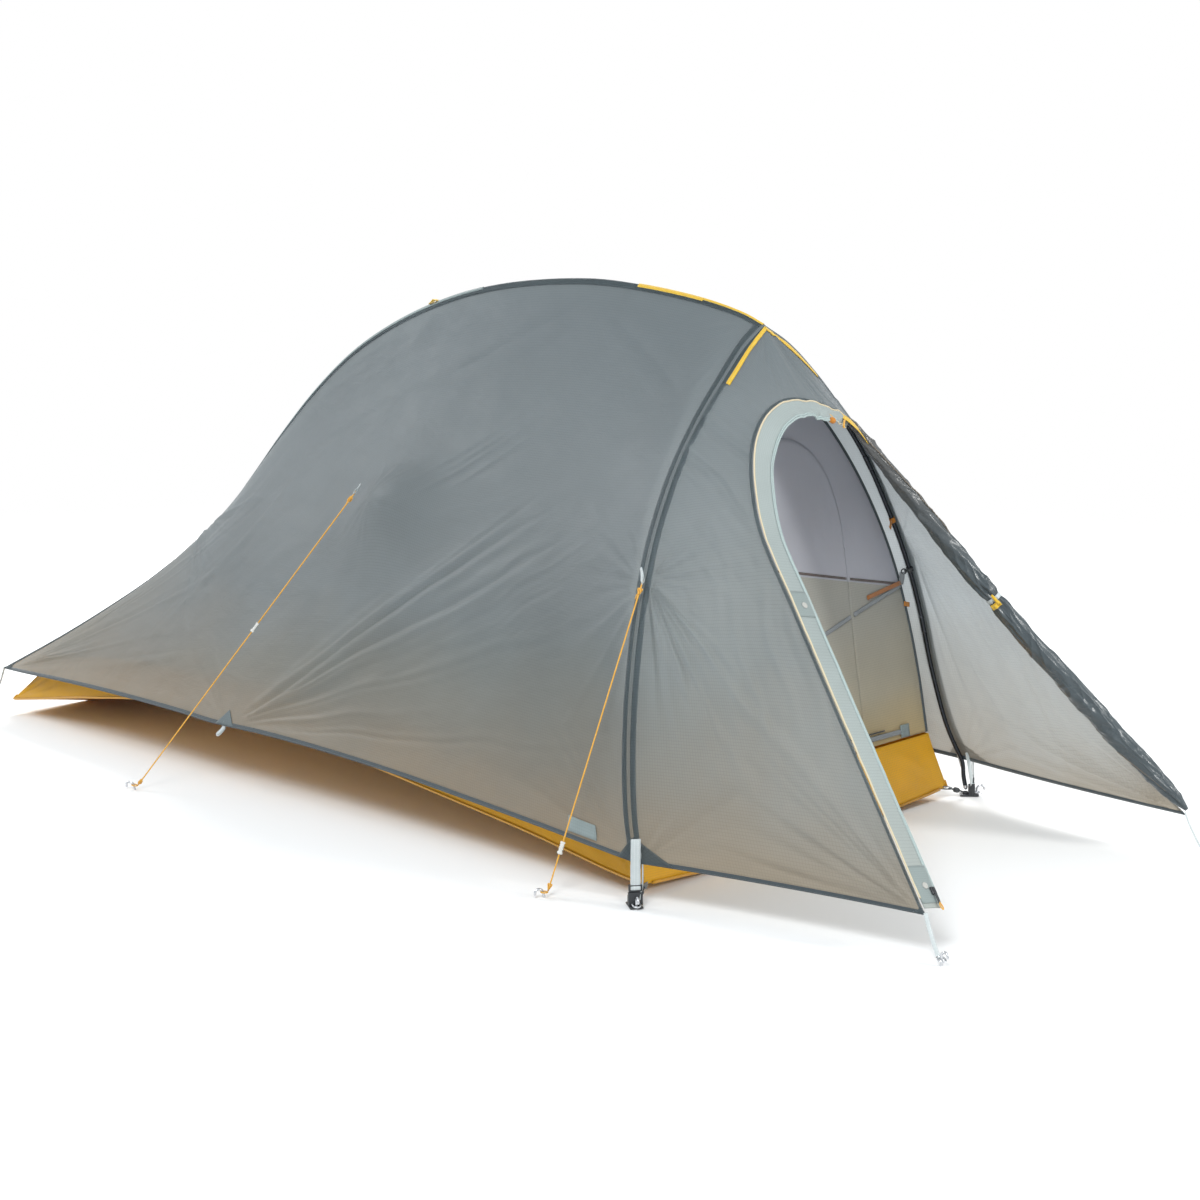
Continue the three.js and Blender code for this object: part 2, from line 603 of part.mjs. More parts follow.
// ---------------------------------------------------------------- fly
function addFlySides() {
  const grid = patch({
    top: (u) => ridgeCurve.getPointAt(u).add(V(-RIDGE_SETBACK, 0, 0)),
    bottom: (u) => hemCurve.getPointAt(u),
    start: (v) => legCurve.getPointAt(v).add(V(-SEAM * (1 - v), LEG_SETBACK, 0)),
    end: (v) => hipCurve.getPointAt(v).add(V(-0.5 * (1 - v) - 0.2, -0.3, 0)),
    m: 12,
    n: 8,
    held: { i: 5, j: 4, point: V(-300, -190, 640) }, // where the side guyline pulls
  });
  addPair("fly_side", shell(grid, FLY_T), FINISH.fly);
}

// A webbing ring round a stake, with a short bar to the corner of a panel.
function stakeRing(stakeFoot, corner) {
  const length = 9, width = 0.8 * length; // half axes of the oval
  const half = 1.6; // half thickness of the webbing
  const barR = 2;
  const centre = V(stakeFoot.x, stakeFoot.y, RING_Z);
  const toward = flat(corner.clone().sub(centre)).normalize();
  const u = toward.clone().multiplyScalar(length);
  const v = V(-toward.y, toward.x, 0).multiplyScalar(width);
  const oval = skin(ringPoints(centre, u, v, 10, 1).map((p) => {
    const out = flat(p.clone().sub(centre)).normalize();
    return [[-half, -half], [half, -half], [half, half], [-half, half]].map(([a, b]) =>
      p.clone().addScaledVector(out, a).addScaledVector(UP, b));
  }), true);
  const barStart = centre.clone().addScaledVector(toward, length - 0.5);
  return union(oval, rod(barStart, corner, barR, 6));
}

// Rear panel between the two hips, down to the rear hem.
function addFlyRear() {
  const m = 6, n = 6, bow = 8, hemArch = 26, grid = [];
  for (let i = 0; i <= n; i++) {
    const v = i / n, row = [];
    const left = hipCurve.getPointAt(0.03 + 0.97 * v).add(V(0.8, 1.2, 0));
    for (let j = 0; j <= m; j++) {
      const u = (2 * j) / m - 1, middle = 1 - u * u;
      row.push(V(-left.x * u, left.y + bow * v * middle, left.z + hemArch * v * v * middle));
    }
    grid.push(row);
  }
  const left = stakeRing(STAKE_REAR, hipCurve.getPointAt(1).add(V(6, 1.2, 0)));
  add("fly_rear_panel", union(shell(grid, FLY_T), left, mirrored(left)), FINISH.fly);
}

// Point of the door edge at a door station: Catmull-Rom through the table.
function doorEdge(station) {
  let i = 0;
  while (i < DOOR_EDGE.length - 2 && station > DOOR_EDGE[i + 1][0]) i++;
  const from = DOOR_EDGE[i][0], to = DOOR_EDGE[i + 1][0];
  const t = (station - from) / (to - from), t2 = t * t, t3 = t2 * t;
  const weights = [2 * t2 - t - t3, 2 - 5 * t2 + 3 * t3, t + 4 * t2 - 3 * t3, t3 - t2];
  const point = V(0, 0, 0);
  weights.forEach((weight, k) => {
    const [, x, y, z] = DOOR_EDGE[clamp(i - 1 + k, 0, DOOR_EDGE.length - 1)];
    point.addScaledVector(V(x, y, z), weight / 2);
  });
  return point;
}

// Point of the leg seams that faces the door edge at a door station.
function seamFront(station) {
  const p = legCurve.getPointAt(Math.abs(1 - station));
  return V(station <= 1 ? p.x : -p.x, p.y - LEG_SETBACK, p.z);
}

// Vestibule: ruled from the leg seams to the door edge, in two halves that meet above the door.
function vestibuleHalf(from, to) {
  const rows = 20, cols = 3, sagMax = 10, grid = [];
  for (let i = 0; i <= rows; i++) {
    const station = lerp(from, to, i / rows), row = [];
    const seam = seamFront(station), edge = doorEdge(station);
    for (let j = 0; j <= cols; j++) {
      const v = j / cols, p = mix(seam, edge, v);
      p.x += 4 * v * (1 - v) * sagMax * (1 - station);
      row.push(p);
    }
    grid.push(row);
  }
  return shell(grid, FLY_T);
}

function addVestibule() {
  const rightStake = V(-STAKE_VESTIBULE.x, STAKE_VESTIBULE.y, 0);
  const leftRing = stakeRing(STAKE_VESTIBULE, doorEdge(0).add(V(-2, 6, 1)));
  const rightRing = stakeRing(rightStake, doorEdge(2).add(V(2, 6, 1)));
  add("vestibule_left", union(vestibuleHalf(0, 0.997), leftRing), FINISH.fly);
  add("vestibule_right", union(vestibuleHalf(1.003, 2), rightRing), FINISH.fly);
}

// ---------------------------------------------------------------- fly door
const DOOR_NORMAL = V(0, -0.77, 0.64); // the door's plane leans back

// Direction from the door edge into the opening.
function intoDoor(station) {
  const along = direction(doorEdge(station - 0.01), doorEdge(station + 0.01));
  return cross(along, DOOR_NORMAL).normalize();
}

// Zip tape along the left and top of the door opening, narrowing over the top.
function addZipTape() {
  const narrowFrom = 0.72, narrowTo = 1.2; // door stations
  const endShare = 0.72; // width left at the end
  const grid = [];
  for (let i = 0; i <= 24; i++) {
    const station = i ? 0.05 * i : 0.012, edge = doorEdge(station), inward = intoDoor(station);
    const narrowing = Math.max(0, (station - narrowFrom) / (narrowTo - narrowFrom));
    const width = TAPE_W * lerp(1, endShare, narrowing);
    grid.push([1.2, width / 2, width].map((off) => edge.clone().addScaledVector(inward, off)));
  }
  add("door_zip_tape", shell(grid, 1.2), FINISH.zipTape);
}

// The zip's slider on the straight lower run of the tape.
function addDoorSlider() {
  const low = doorEdge(0.035), along = direction(low, doorEdge(0.5));
  const inward = squareTo(intoDoor(0.3), along).normalize();
  const outward = cross(inward, along).normalize();
  const origin = low.addScaledVector(inward, TAPE_W - 9).addScaledVector(outward, 6.5);
  const g = union(box(11, 14, 3.5), box(6, 24, 1.8, 0, -16, 2.2));
  add("door_zip_slider", placed(g, inward, along, outward, origin), FINISH.doorSlider);
}

// Axis of the rolled-up door, beside the door edge on the opening's side.
const beyondEdge = (station) => direction(seamFront(station), doorEdge(station));
const rollAt = (station) => doorEdge(station).addScaledVector(beyondEdge(station), ROLL_R + 5);
const rollTangent = (station) => direction(rollAt(station - 0.01), rollAt(station + 0.01));
// The roll along the right edge of the opening, [door station, radius].
const ROLL = [
  [1.235, 9], [1.255, 15], [1.3, 20], [1.4, ROLL_R], [1.5, 20], [1.6, 18.5],
  [1.7, 20.5], [1.8, ROLL_R], [1.9, 19], [1.96, 14], [1.985, 8],
];

function addDoorRoll() {
  const rings = ROLL.map(([station, radius], i) => {
    const along = rollTangent(station);
    const u = squareTo(beyondEdge(station), along).normalize();
    // two lobes, turned a little further at each ring
    const lobes = (angle) => 1 + 0.07 * Math.sin(2 * angle + 1.7 * i);
    return ringPoints(rollAt(station), u, cross(along, u), 10, radius, lobes);
  });
  const start = rollAt(ROLL[0][0]), end = rollAt(ROLL.at(-1)[0]);
  add("door_roll", skin([[start], ...rings, [end]]), FINISH.doorRoll);
}

// The tie: a band round the roll, open towards the door edge.
function addDoorTie() {
  const station = 1.62, radius = 23.2, thickness = 1.4, halfWidth = 6;
  const centre = rollAt(station), along = rollTangent(station), out = beyondEdge(station);
  const axis = {
    side: UP,
    at: (s) => centre.clone().addScaledVector(along, s),
    tangent: () => along,
  };
  const band = sweep(axis, [
    [-halfWidth, radius], [-halfWidth, radius + thickness],
    [halfWidth, radius + thickness], [halfWidth, radius],
  ], 14, true);
  const origin = centre.clone().addScaledVector(out, -radius - 3);
  const opening = placed(box(60, 30, 14), along, cross(along, out).normalize(), out, origin);
  add("door_tie", cut(band, opening), FINISH.tie);
}

// ---------------------------------------------------------------- pole feet
// Foot plate with an upright buckle, and the strap that enters it from above.
function addFeet() {
  const buckleY = 13.5; // from the pole's foot outward to the buckle
  const atFoot = (g) => placed(g, FOOT_SIDE, FOOT_OUT, UP, FOOT);
  const body = union(
    box(30, 46, 4, 0, 6, 2.5), // plate
    box(26, 8.6, 24, 0, buckleY, 16.3),
    box(3, 4, 20, -11.5, 7.4, 12), // ribs
    box(3, 4, 20, 11.5, 7.4, 12),
  );
  const buckle = cut(
    body,
    box(20.4, 4.6, 40, 0, buckleY, 28), // slot for the strap
    rod(V(0, FOOT_HOLE, -3), V(0, FOOT_HOLE, 8), 3.6), // stake hole
    // recess for the pole tip
    new THREE.CylinderGeometry(5.6, 5.6, 3, 10).rotateX(Math.PI / 2).translate(0, 0, 4.6),
  );
  addPair("foot_buckle", atFoot(buckle), FINISH.buckle);
  const strap = union(
    box(19, 3.4, 24, 0, buckleY, 22), // tongue
    box(25, 6.4, 6, 0, buckleY, 32.4), // shoulder
    box(18, 1.6, 92, 0, buckleY, 80), // webbing
  );
  addPair("fly_strap", atFoot(strap), FINISH.strap);
}

// ---------------------------------------------------------------- stakes and guylines
// A wire stake: pointed shaft and a bent hook. up is the shaft's direction, top the length of the
// straight shaft above the ground.
function stake(foot, up, hookDir, top = 16) {
  const out = squareTo(hookDir, up).normalize(), side = cross(up, out).normalize();
  // centreline: [along the shaft, out along the hook, wire radius]
  const wire = [
    [-STAKE_DEPTH, 0, 0.8], [12 - STAKE_DEPTH, 0, STAKE_R], [top, 0, STAKE_R],
    [top + 6, 2.2, STAKE_R], [top + 8.5, 8, STAKE_R], [top + 6, 13.5, STAKE_R],
    [top - 1, 15.5, STAKE_R * 0.8],
  ];
  const points = wire.map(([along, off]) =>
    foot.clone().addScaledVector(up, along).addScaledVector(out, off));
  const rings = points.map((p, i) => {
    const before = points[Math.max(i - 1, 0)], after = points[Math.min(i + 1, points.length - 1)];
    const v = cross(direction(before, after), side).normalize();
    return ringPoints(p, side, v, STAKE_SEG, wire[i][2]);
  });
  return skin([[points[0]], ...rings, [points.at(-1)]]);
}

function addStakes() {
  const footHole = FOOT.clone().addScaledVector(FOOT_OUT, FOOT_HOLE);
  addPair("stake_foot", stake(footHole, UP, FOOT_OUT, 14), FINISH.metal);
  addPair("stake_vestibule", stake(STAKE_VESTIBULE, UP, V(-0.2, -1, 0)), FINISH.metal);
  addPair("stake_rear", stake(STAKE_REAR, UP, V(-0.4, 0.9, 0)), FINISH.metal);
}

// A side line from the middle of each long panel and a front line from each leg seam, each to its
// own stake. slide is the tensioner's place as a share of the line from the fly.
const GUYS = [
  { name: "side", from: V(-331, -152, 646), to: V(-606, 246, 10), slide: 0.455 },
  { name: "front", from: V(-423, -1014, 566), to: V(-594, -938, 10), slide: 0.86 },
];

function tensioner() {
  const body = union(box(8.4, 22, 6.4), box(8.4, 6, 9, 0, 9, 0));
  return cut(body, rod(V(0, -30, 0), V(0, 30, 0), GUY_R + 0.55));
}

function addGuylines() {
  for (const { name, from, to, slide } of GUYS) {
    const along = direction(from, to), side = cross(along, UP).normalize();
    addPair(`guyline_${name}`, rod(from, to, GUY_R, 6), FINISH.guyline);
    const under = cross(along, side).normalize();
    const slider = placed(tensioner(), side, along, under, mix(from, to, slide));
    addPair(`tensioner_${name}`, slider, FINISH.tensioner);
    const away = flat(along).normalize();
    const lean = away.clone().multiplyScalar(0.28).add(UP).normalize();
    const foot = flat(to).addScaledVector(away, 7.5);
    addPair(`stake_guy_${name}`, stake(foot, lean, away, 10), FINISH.metal);
  }
}

// ---------------------------------------------------------------- assembly
addPoles();
addShockCord();
addHub();
addFloorTub();
addInnerFront();
addInnerWalls();
addClips();
addFlySides();
addFlyRear();
addVestibule();
addZipTape();
addDoorSlider();
addDoorRoll();
addDoorTie();
addFeet();
addStakes();
addGuylines();

tent.position.set(0, REST_Y, 0);
export default tent;
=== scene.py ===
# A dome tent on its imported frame: fly, vestibule with a rolled door, inner tent, floor, poles,
# feet, stakes and guylines. The geometry is written in millimetres and scaled once to metres, in
# the frame of the CAD: +Z up, ground at z = 0, door towards -Y, left at -X.
import json
import math

import bmesh
import bpy
import numpy as np
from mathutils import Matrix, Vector

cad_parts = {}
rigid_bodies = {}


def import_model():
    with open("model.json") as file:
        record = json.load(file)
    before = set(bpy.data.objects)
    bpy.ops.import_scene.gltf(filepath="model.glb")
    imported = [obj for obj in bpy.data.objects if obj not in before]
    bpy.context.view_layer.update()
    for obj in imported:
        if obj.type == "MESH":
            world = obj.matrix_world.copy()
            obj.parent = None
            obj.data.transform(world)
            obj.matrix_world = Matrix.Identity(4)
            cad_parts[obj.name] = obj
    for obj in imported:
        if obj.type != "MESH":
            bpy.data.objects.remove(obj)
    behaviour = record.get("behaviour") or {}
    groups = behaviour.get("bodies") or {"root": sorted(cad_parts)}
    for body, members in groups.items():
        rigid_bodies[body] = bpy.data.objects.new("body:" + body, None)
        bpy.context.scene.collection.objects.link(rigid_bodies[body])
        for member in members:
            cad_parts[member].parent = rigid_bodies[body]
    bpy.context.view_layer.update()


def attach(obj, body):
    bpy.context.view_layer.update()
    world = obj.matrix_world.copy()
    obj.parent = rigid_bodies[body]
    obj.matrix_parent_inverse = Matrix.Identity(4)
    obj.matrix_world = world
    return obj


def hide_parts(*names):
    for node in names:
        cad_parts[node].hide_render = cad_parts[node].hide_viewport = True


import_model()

MM = 0.001
REST_Y = 1000.0  # mm from the station where y is counted from here to the frame's origin
CAMERA_PLACE = (-3.674, -2.841, 1.274)  # metres
TURN = 2 * math.pi


# ---------------------------------------------------------------- vectors
def vec(*values):
    return np.array(values, float)


RIGHT, UP = vec(1, 0, 0), vec(0, 0, 1)
FORWARD, REARWARD = vec(0, -1, 0), vec(0, 1, 0)


def unit(v):
    v = np.asarray(v, float)
    n = np.linalg.norm(v, axis=-1, keepdims=True)
    return v / np.where(n < 1e-12, 1, n)


def lerp(a, b, t):
    return a + (b - a) * t


def smooth(a, b, x):
    """Smooth step from 0 at a to 1 at b; a may be larger than b."""
    t = np.clip((np.asarray(x, float) - a) / (b - a), 0, 1)
    return t * t * (3 - 2 * t)


def across(v, axis):
    """Unit direction of v with its share along axis taken out."""
    return unit(v - np.dot(v, axis) * axis)


def arc_lengths(points):
    steps = np.linalg.norm(np.diff(points, axis=0), axis=1)
    return np.concatenate([[0], np.cumsum(steps)])


def local_points(axes, points):
    """Points given in (origin, X, Y, Z) axes."""
    origin, ax, ay, az = axes
    points = np.asarray(points, float)
    return origin + points[:, :1] * ax + points[:, 1:2] * ay + points[:, 2:] * az


# ---------------------------------------------------------------- seeded noise
def hashed(i, seed):
    """Number in 0..1 from a whole number and a seed."""
    i = (np.asarray(i, np.int64) * 374761393 + seed * 668265263 + 1442695041) & 0xFFFFFFFF
    i = ((i ^ (i >> 13)) * 1274126177) & 0xFFFFFFFF
    i = ((i ^ (i >> 16)) * 2246822519) & 0xFFFFFFFF
    return ((i ^ (i >> 15)) & 0xFFFFFF) / float(0xFFFFFF)


def noise1(x, seed):
    """Smooth noise in -1..1."""
    i = np.floor(x)
    f = x - i
    f = f * f * (3 - 2 * f)
    return (1 - f) * hashed(i, seed) * 2 + f * hashed(i + 1, seed) * 2 - 1


def noise2(x, y, seed):
    x, y = np.asarray(x, float), np.asarray(y, float)
    i, j = np.floor(x), np.floor(y)
    f, g = x - i, y - j
    f = f * f * (3 - 2 * f)
    g = g * g * (3 - 2 * g)

    def row(b):
        return (1 - f) * hashed(i + b * 57119, seed) + f * hashed(i + 1 + b * 57119, seed)

    return 2 * ((1 - g) * row(j) + g * row(j + 1)) - 1


# ---------------------------------------------------------------- curves
class Curve:
    """Centripetal Catmull-Rom through points, read by arc length."""

    def __init__(self, points, per=40):
        P = np.asarray(points, float)
        ext = np.vstack([2 * P[0] - P[1], P, 2 * P[-1] - P[-2]])
        t = np.linspace(0, 1, per, endpoint=False)[:, None]
        out = []
        for i in range(len(P) - 1):
            x0, x1, x2, x3 = ext[i:i + 4]
            pairs = ((x0, x1), (x1, x2), (x2, x3))
            d0, d1, d2 = (max(np.linalg.norm(b - a), 1e-9) ** 0.5 for a, b in pairs)
            m1 = ((x1 - x0) / d0 - (x2 - x0) / (d0 + d1) + (x2 - x1) / d1) * d1
            m2 = ((x2 - x1) / d1 - (x3 - x1) / (d1 + d2) + (x3 - x2) / d2) * d1
            out.append(x1 + m1 * t + (-3 * x1 + 3 * x2 - 2 * m1 - m2) * t ** 2
                       + (2 * x1 - 2 * x2 + m1 + m2) * t ** 3)
        self.points = np.vstack(out + [P[-1:]])
        self.arc = arc_lengths(self.points)
        self.length = self.arc[-1]

    def at(self, s):
        """Points at distances s, carried on straight past both ends."""
        s = np.asarray(s, float)
        P = self.points
        p = np.stack([np.interp(s, self.arc, P[:, k]) for k in range(3)], -1)
        before = np.minimum(s, 0)[..., None] * unit(P[1] - P[0])
        after = np.maximum(s - self.length, 0)[..., None] * unit(P[-1] - P[-2])
        return p + before + after

    def share(self, u):
        return self.at(np.asarray(u, float) * self.length)

    def tangent(self, s, reach=2.0):
        s = np.clip(np.asarray(s, float), 0, self.length)
        return unit(self.at(np.minimum(s + reach, self.length)) - self.at(np.maximum(s - reach, 0)))


def resample(P, n):
    s = arc_lengths(P)
    t = np.linspace(0, s[-1], n)
    return np.stack([np.interp(t, s, P[:, k]) for k in range(3)], -1)


# ---------------------------------------------------------------- surfaces
# A surface is (verts, faces) or (verts, faces, corner UVs); UVs are in metres.
def grid_faces(m, n, flip=False, closed=False):
    """Quads of an m by n grid, row by row. closed joins the last column to the first."""
    i, j = np.meshgrid(np.arange(m - 1), np.arange(n if closed else n - 1), indexing="ij")
    j2 = (j + 1) % n
    q = np.stack([i * n + j, (i + 1) * n + j, (i + 1) * n + j2, i * n + j2], -1).reshape(-1, 4)
    return q[:, ::-1] if flip else q


def grid_uv(m, n, su, sv, closed=False):
    """Corner UVs for grid_faces: su along the rows, sv across."""
    u = np.linspace(0, su, m)
    v = np.linspace(0, sv, (n + 1) if closed else n)
    i, j = np.meshgrid(np.arange(m - 1), np.arange(n if closed else n - 1), indexing="ij")
    corners = ((i, j), (i + 1, j), (i + 1, j + 1), (i, j + 1))
    return np.stack([np.stack([u[a], v[b]], -1) for a, b in corners], -2).reshape(-1, 4, 2)


def capped_rings(rings, ends, length, girth, end_uv):
    """Rows of closed rings, fanned shut on the two end points."""
    m, n = rings.shape[:2]
    faces = grid_faces(m, n, closed=True, flip=True).tolist()
    uvs = grid_uv(m, n, length, girth, closed=True)[:, ::-1].tolist()
    last = (m - 1) * n
    for k in range(n):
        after = (k + 1) % n
        faces += [[m * n, after, k], [m * n + 1, last + k, last + after]]
        uvs += [[(0, 0)] * 3, [end_uv] * 3]
    return np.vstack([rings.reshape(-1, 3), ends]), faces, uvs


def tube(path, radius, seg):
    """Closed tube round a polyline; the radius is one number or one per point."""
    P = np.asarray(path, float)
    T = unit(np.gradient(P, axis=0))
    N = np.zeros_like(P)
    start = UP if abs(T[0][2]) < 0.9 else RIGHT
    N[0] = across(start, T[0])
    for k in range(1, len(P)):
        N[k] = across(N[k - 1], T[k])
    B = np.cross(T, N)
    r = np.broadcast_to(np.asarray(radius, float), (len(P),))[:, None, None]
    a = np.linspace(0, TURN, seg, endpoint=False)[None, :, None]
    rings = P[:, None] + r * np.cos(a) * N[:, None] + r * np.sin(a) * B[:, None]
    length = arc_lengths(P)[-1] * MM
    return capped_rings(rings, P[[0, -1]], length, TURN * float(np.mean(r)) * MM, (length, 0))


def strap(path, normals, width, thickness):
    """Flat webbing with rounded edges along a centre line, facing along the normals."""
    P = np.asarray(path, float)
    n = len(P)
    T = unit(np.gradient(P, axis=0))
    N = np.broadcast_to(np.asarray(normals, float), P.shape)
    N = unit(N - np.sum(N * T, 1, keepdims=True) * T)
    S = np.cross(T, N)
    side = np.linspace(-0.5, 0.5, 7)
    half = 0.5 * (1 - np.abs(2 * side) ** 6 * 0.45)
    prof = np.column_stack([np.concatenate([side, side[::-1]]), np.concatenate([half, -half])])
    k = len(prof)
    V = P[:, None] + (prof[None, :, :1] * width) * S[:, None] \
        + (prof[None, :, 1:] * thickness) * N[:, None]
    length = arc_lengths(P)[-1] * MM
    F = grid_faces(n, k, closed=True).tolist()
    vv = (prof[:, 0] + 0.5) * width * MM
    uu = np.linspace(0, length, n)
    uv = []
    for i in range(n - 1):
        for j in range(k):
            a, b = vv[j], vv[(j + 1) % k]
            uv.append([(uu[i], a), (uu[i + 1], a), (uu[i + 1], b), (uu[i], b)])
    F.append(list(range(k)))
    uv.append([(0, v) for v in vv])
    F.append([(n - 1) * k + j for j in range(k)][::-1])
    uv.append([(length, v) for v in vv[::-1]])
    return V.reshape(-1, 3), F, uv


def rounded_box(size, centre, radius, axes):
    """Box with rounded edges, placed by an origin and three axes."""
    bm = bmesh.new()
    bmesh.ops.create_cube(bm, size=1)
    for v in bm.verts:
        v.co = Vector((v.co.x * size[0], v.co.y * size[1], v.co.z * size[2]))
    bmesh.ops.bevel(bm, geom=list(bm.edges), offset=min(radius, min(size) * 0.45), segments=3,
                    profile=0.5, affect="EDGES", clamp_overlap=True)
    V = np.array([v.co[:] for v in bm.verts]) + vec(*centre)
    bm.verts.index_update()
    F = [[v.index for v in f.verts] for f in bm.faces]
    bm.free()
    if np.dot(np.cross(axes[1], axes[2]), axes[3]) < 0:
        F = [f[::-1] for f in F]
    return local_points(axes, V), F


def boxes(axes, rows):
    """Rounded boxes from rows of size, centre, edge radius."""
    return [rounded_box(size, centre, radius, axes) for size, centre, radius in rows]


def beside(axis):
    return unit(np.cross(axis, UP if abs(axis[2]) < 0.9 else RIGHT))


def torus(centre, axis, ring, wire, seg, sec, squash=1.0, first=None):
    """Ring of wire; squash narrows it across the first direction."""
    axis = unit(axis)
    e1 = beside(axis) if first is None else across(first, axis)
    e2 = np.cross(axis, e1)
    a = np.linspace(0, TURN, seg, endpoint=False)[:, None]
    b = np.linspace(0, TURN, sec, endpoint=False)[None, :, None]
    C = centre + ring * np.cos(a) * e1 + ring * squash * np.sin(a) * e2
    out = unit(C - centre)
    V = C[:, None] + wire * np.cos(b) * out[:, None] + wire * np.sin(b) * axis
    F = []
    for i in range(seg):
        for j in range(sec):
            i2, j2 = (i + 1) % seg, (j + 1) % sec
            F.append([i * sec + j, i2 * sec + j, i2 * sec + j2, i * sec + j2])
    return V.reshape(-1, 3), F


def lathe(profile, origin, axis, seg):
    """Revolves (distance along axis, radius) pairs round an axis; radius 0 closes an end."""
    axis = unit(axis)
    e1 = beside(axis)
    e2 = np.cross(axis, e1)
    a = np.linspace(0, TURN, seg, endpoint=False)[:, None]
    V, F, rows = [], [], []
    for s, r in profile:
        centre = origin + s * axis
        if r <= 1e-6:
            rows.append([len(V)])
            V.append(centre)
        else:
            rows.append(list(range(len(V), len(V) + seg)))
            V.extend(centre + r * (np.cos(a) * e1 + np.sin(a) * e2))
    for p, q in zip(rows, rows[1:]):
        for k in range(seg):
            after = (k + 1) % seg
            if len(p) == 1:
                F.append([p[0], q[after], q[k]])
            elif len(q) == 1:
                F.append([p[k], p[after], q[0]])
            else:
                F.append([p[k], p[after], q[after], q[k]])
    return np.array(V), F


def normals_of(G):
    return unit(np.cross(np.gradient(G, axis=0), np.gradient(G, axis=1)))


def slab(G, thickness, off=0.0, out=None, su=None, sv=None):
    """Closed thin sheet round a grid of points, moved off along the normal that faces out."""
    G = np.asarray(G, float)
    m, n = G.shape[:2]
    N = normals_of(G)
    flip = out is not None and np.sum(N * np.asarray(out, float)) < 0
    if flip:
        N = -N
    half = thickness / 2
    V = np.concatenate([(G + N * (off + q)).reshape(-1, 3) for q in (half, -half)])
    su = arc_lengths(G[:, n // 2])[-1] * MM if su is None else su
    sv = arc_lengths(G[m // 2])[-1] * MM if sv is None else sv
    f = grid_faces(m, n)
    q = grid_uv(m, n, su, sv)
    F = f.tolist() + (f[:, ::-1] + m * n).tolist()
    uv = q.tolist() + q[:, ::-1].tolist()
    rim = [(i, 0) for i in range(m)] + [(m - 1, j) for j in range(1, n)]
    rim += [(i, n - 1) for i in range(m - 2, -1, -1)] + [(0, j) for j in range(n - 2, 0, -1)]
    for a, b in zip(rim, rim[1:] + rim[:1]):
        i, j = a[0] * n + a[1], b[0] * n + b[1]
        F.append([j, i, i + m * n, j + m * n])
        ua, ub = ((su * r / (m - 1), sv * c / (n - 1)) for r, c in (a, b))
        uv.append([ub, ua, ua, ub])
    if flip:
        F = [g[::-1] for g in F]
        uv = [g[::-1] for g in uv]
    return V, F, uv


def walk(G, distance):
    """Point at a distance along each row of a grid; one number or one per row."""
    d = np.broadcast_to(np.asarray(distance, float), (len(G),))
    out = np.zeros((len(G), 3))
    for i, row in enumerate(G):
        s = arc_lengths(row)
        out[i] = [np.interp(d[i], s, row[:, k]) for k in range(3)]
        if d[i] < 0:
            out[i] = row[0] + unit(row[0] - row[1]) * -d[i]
    return out


def pick(P, n, a=0.0, b=1.0):
    """n points of a polyline between two shares of its index."""
    t = np.linspace(a, b, n) * (len(P) - 1)
    i = np.arange(len(P))
    return np.stack([np.interp(t, i, P[:, k]) for k in range(3)], -1)


def columns(*lines):
    return np.stack(lines, 1)


def mirror(P):
    return np.asarray(P, float) * vec(-1, 1, 1)


def mirror_part(part):
    verts, *lists = part
    return (mirror(verts), *[[list(row)[::-1] for row in rows] for rows in lists])


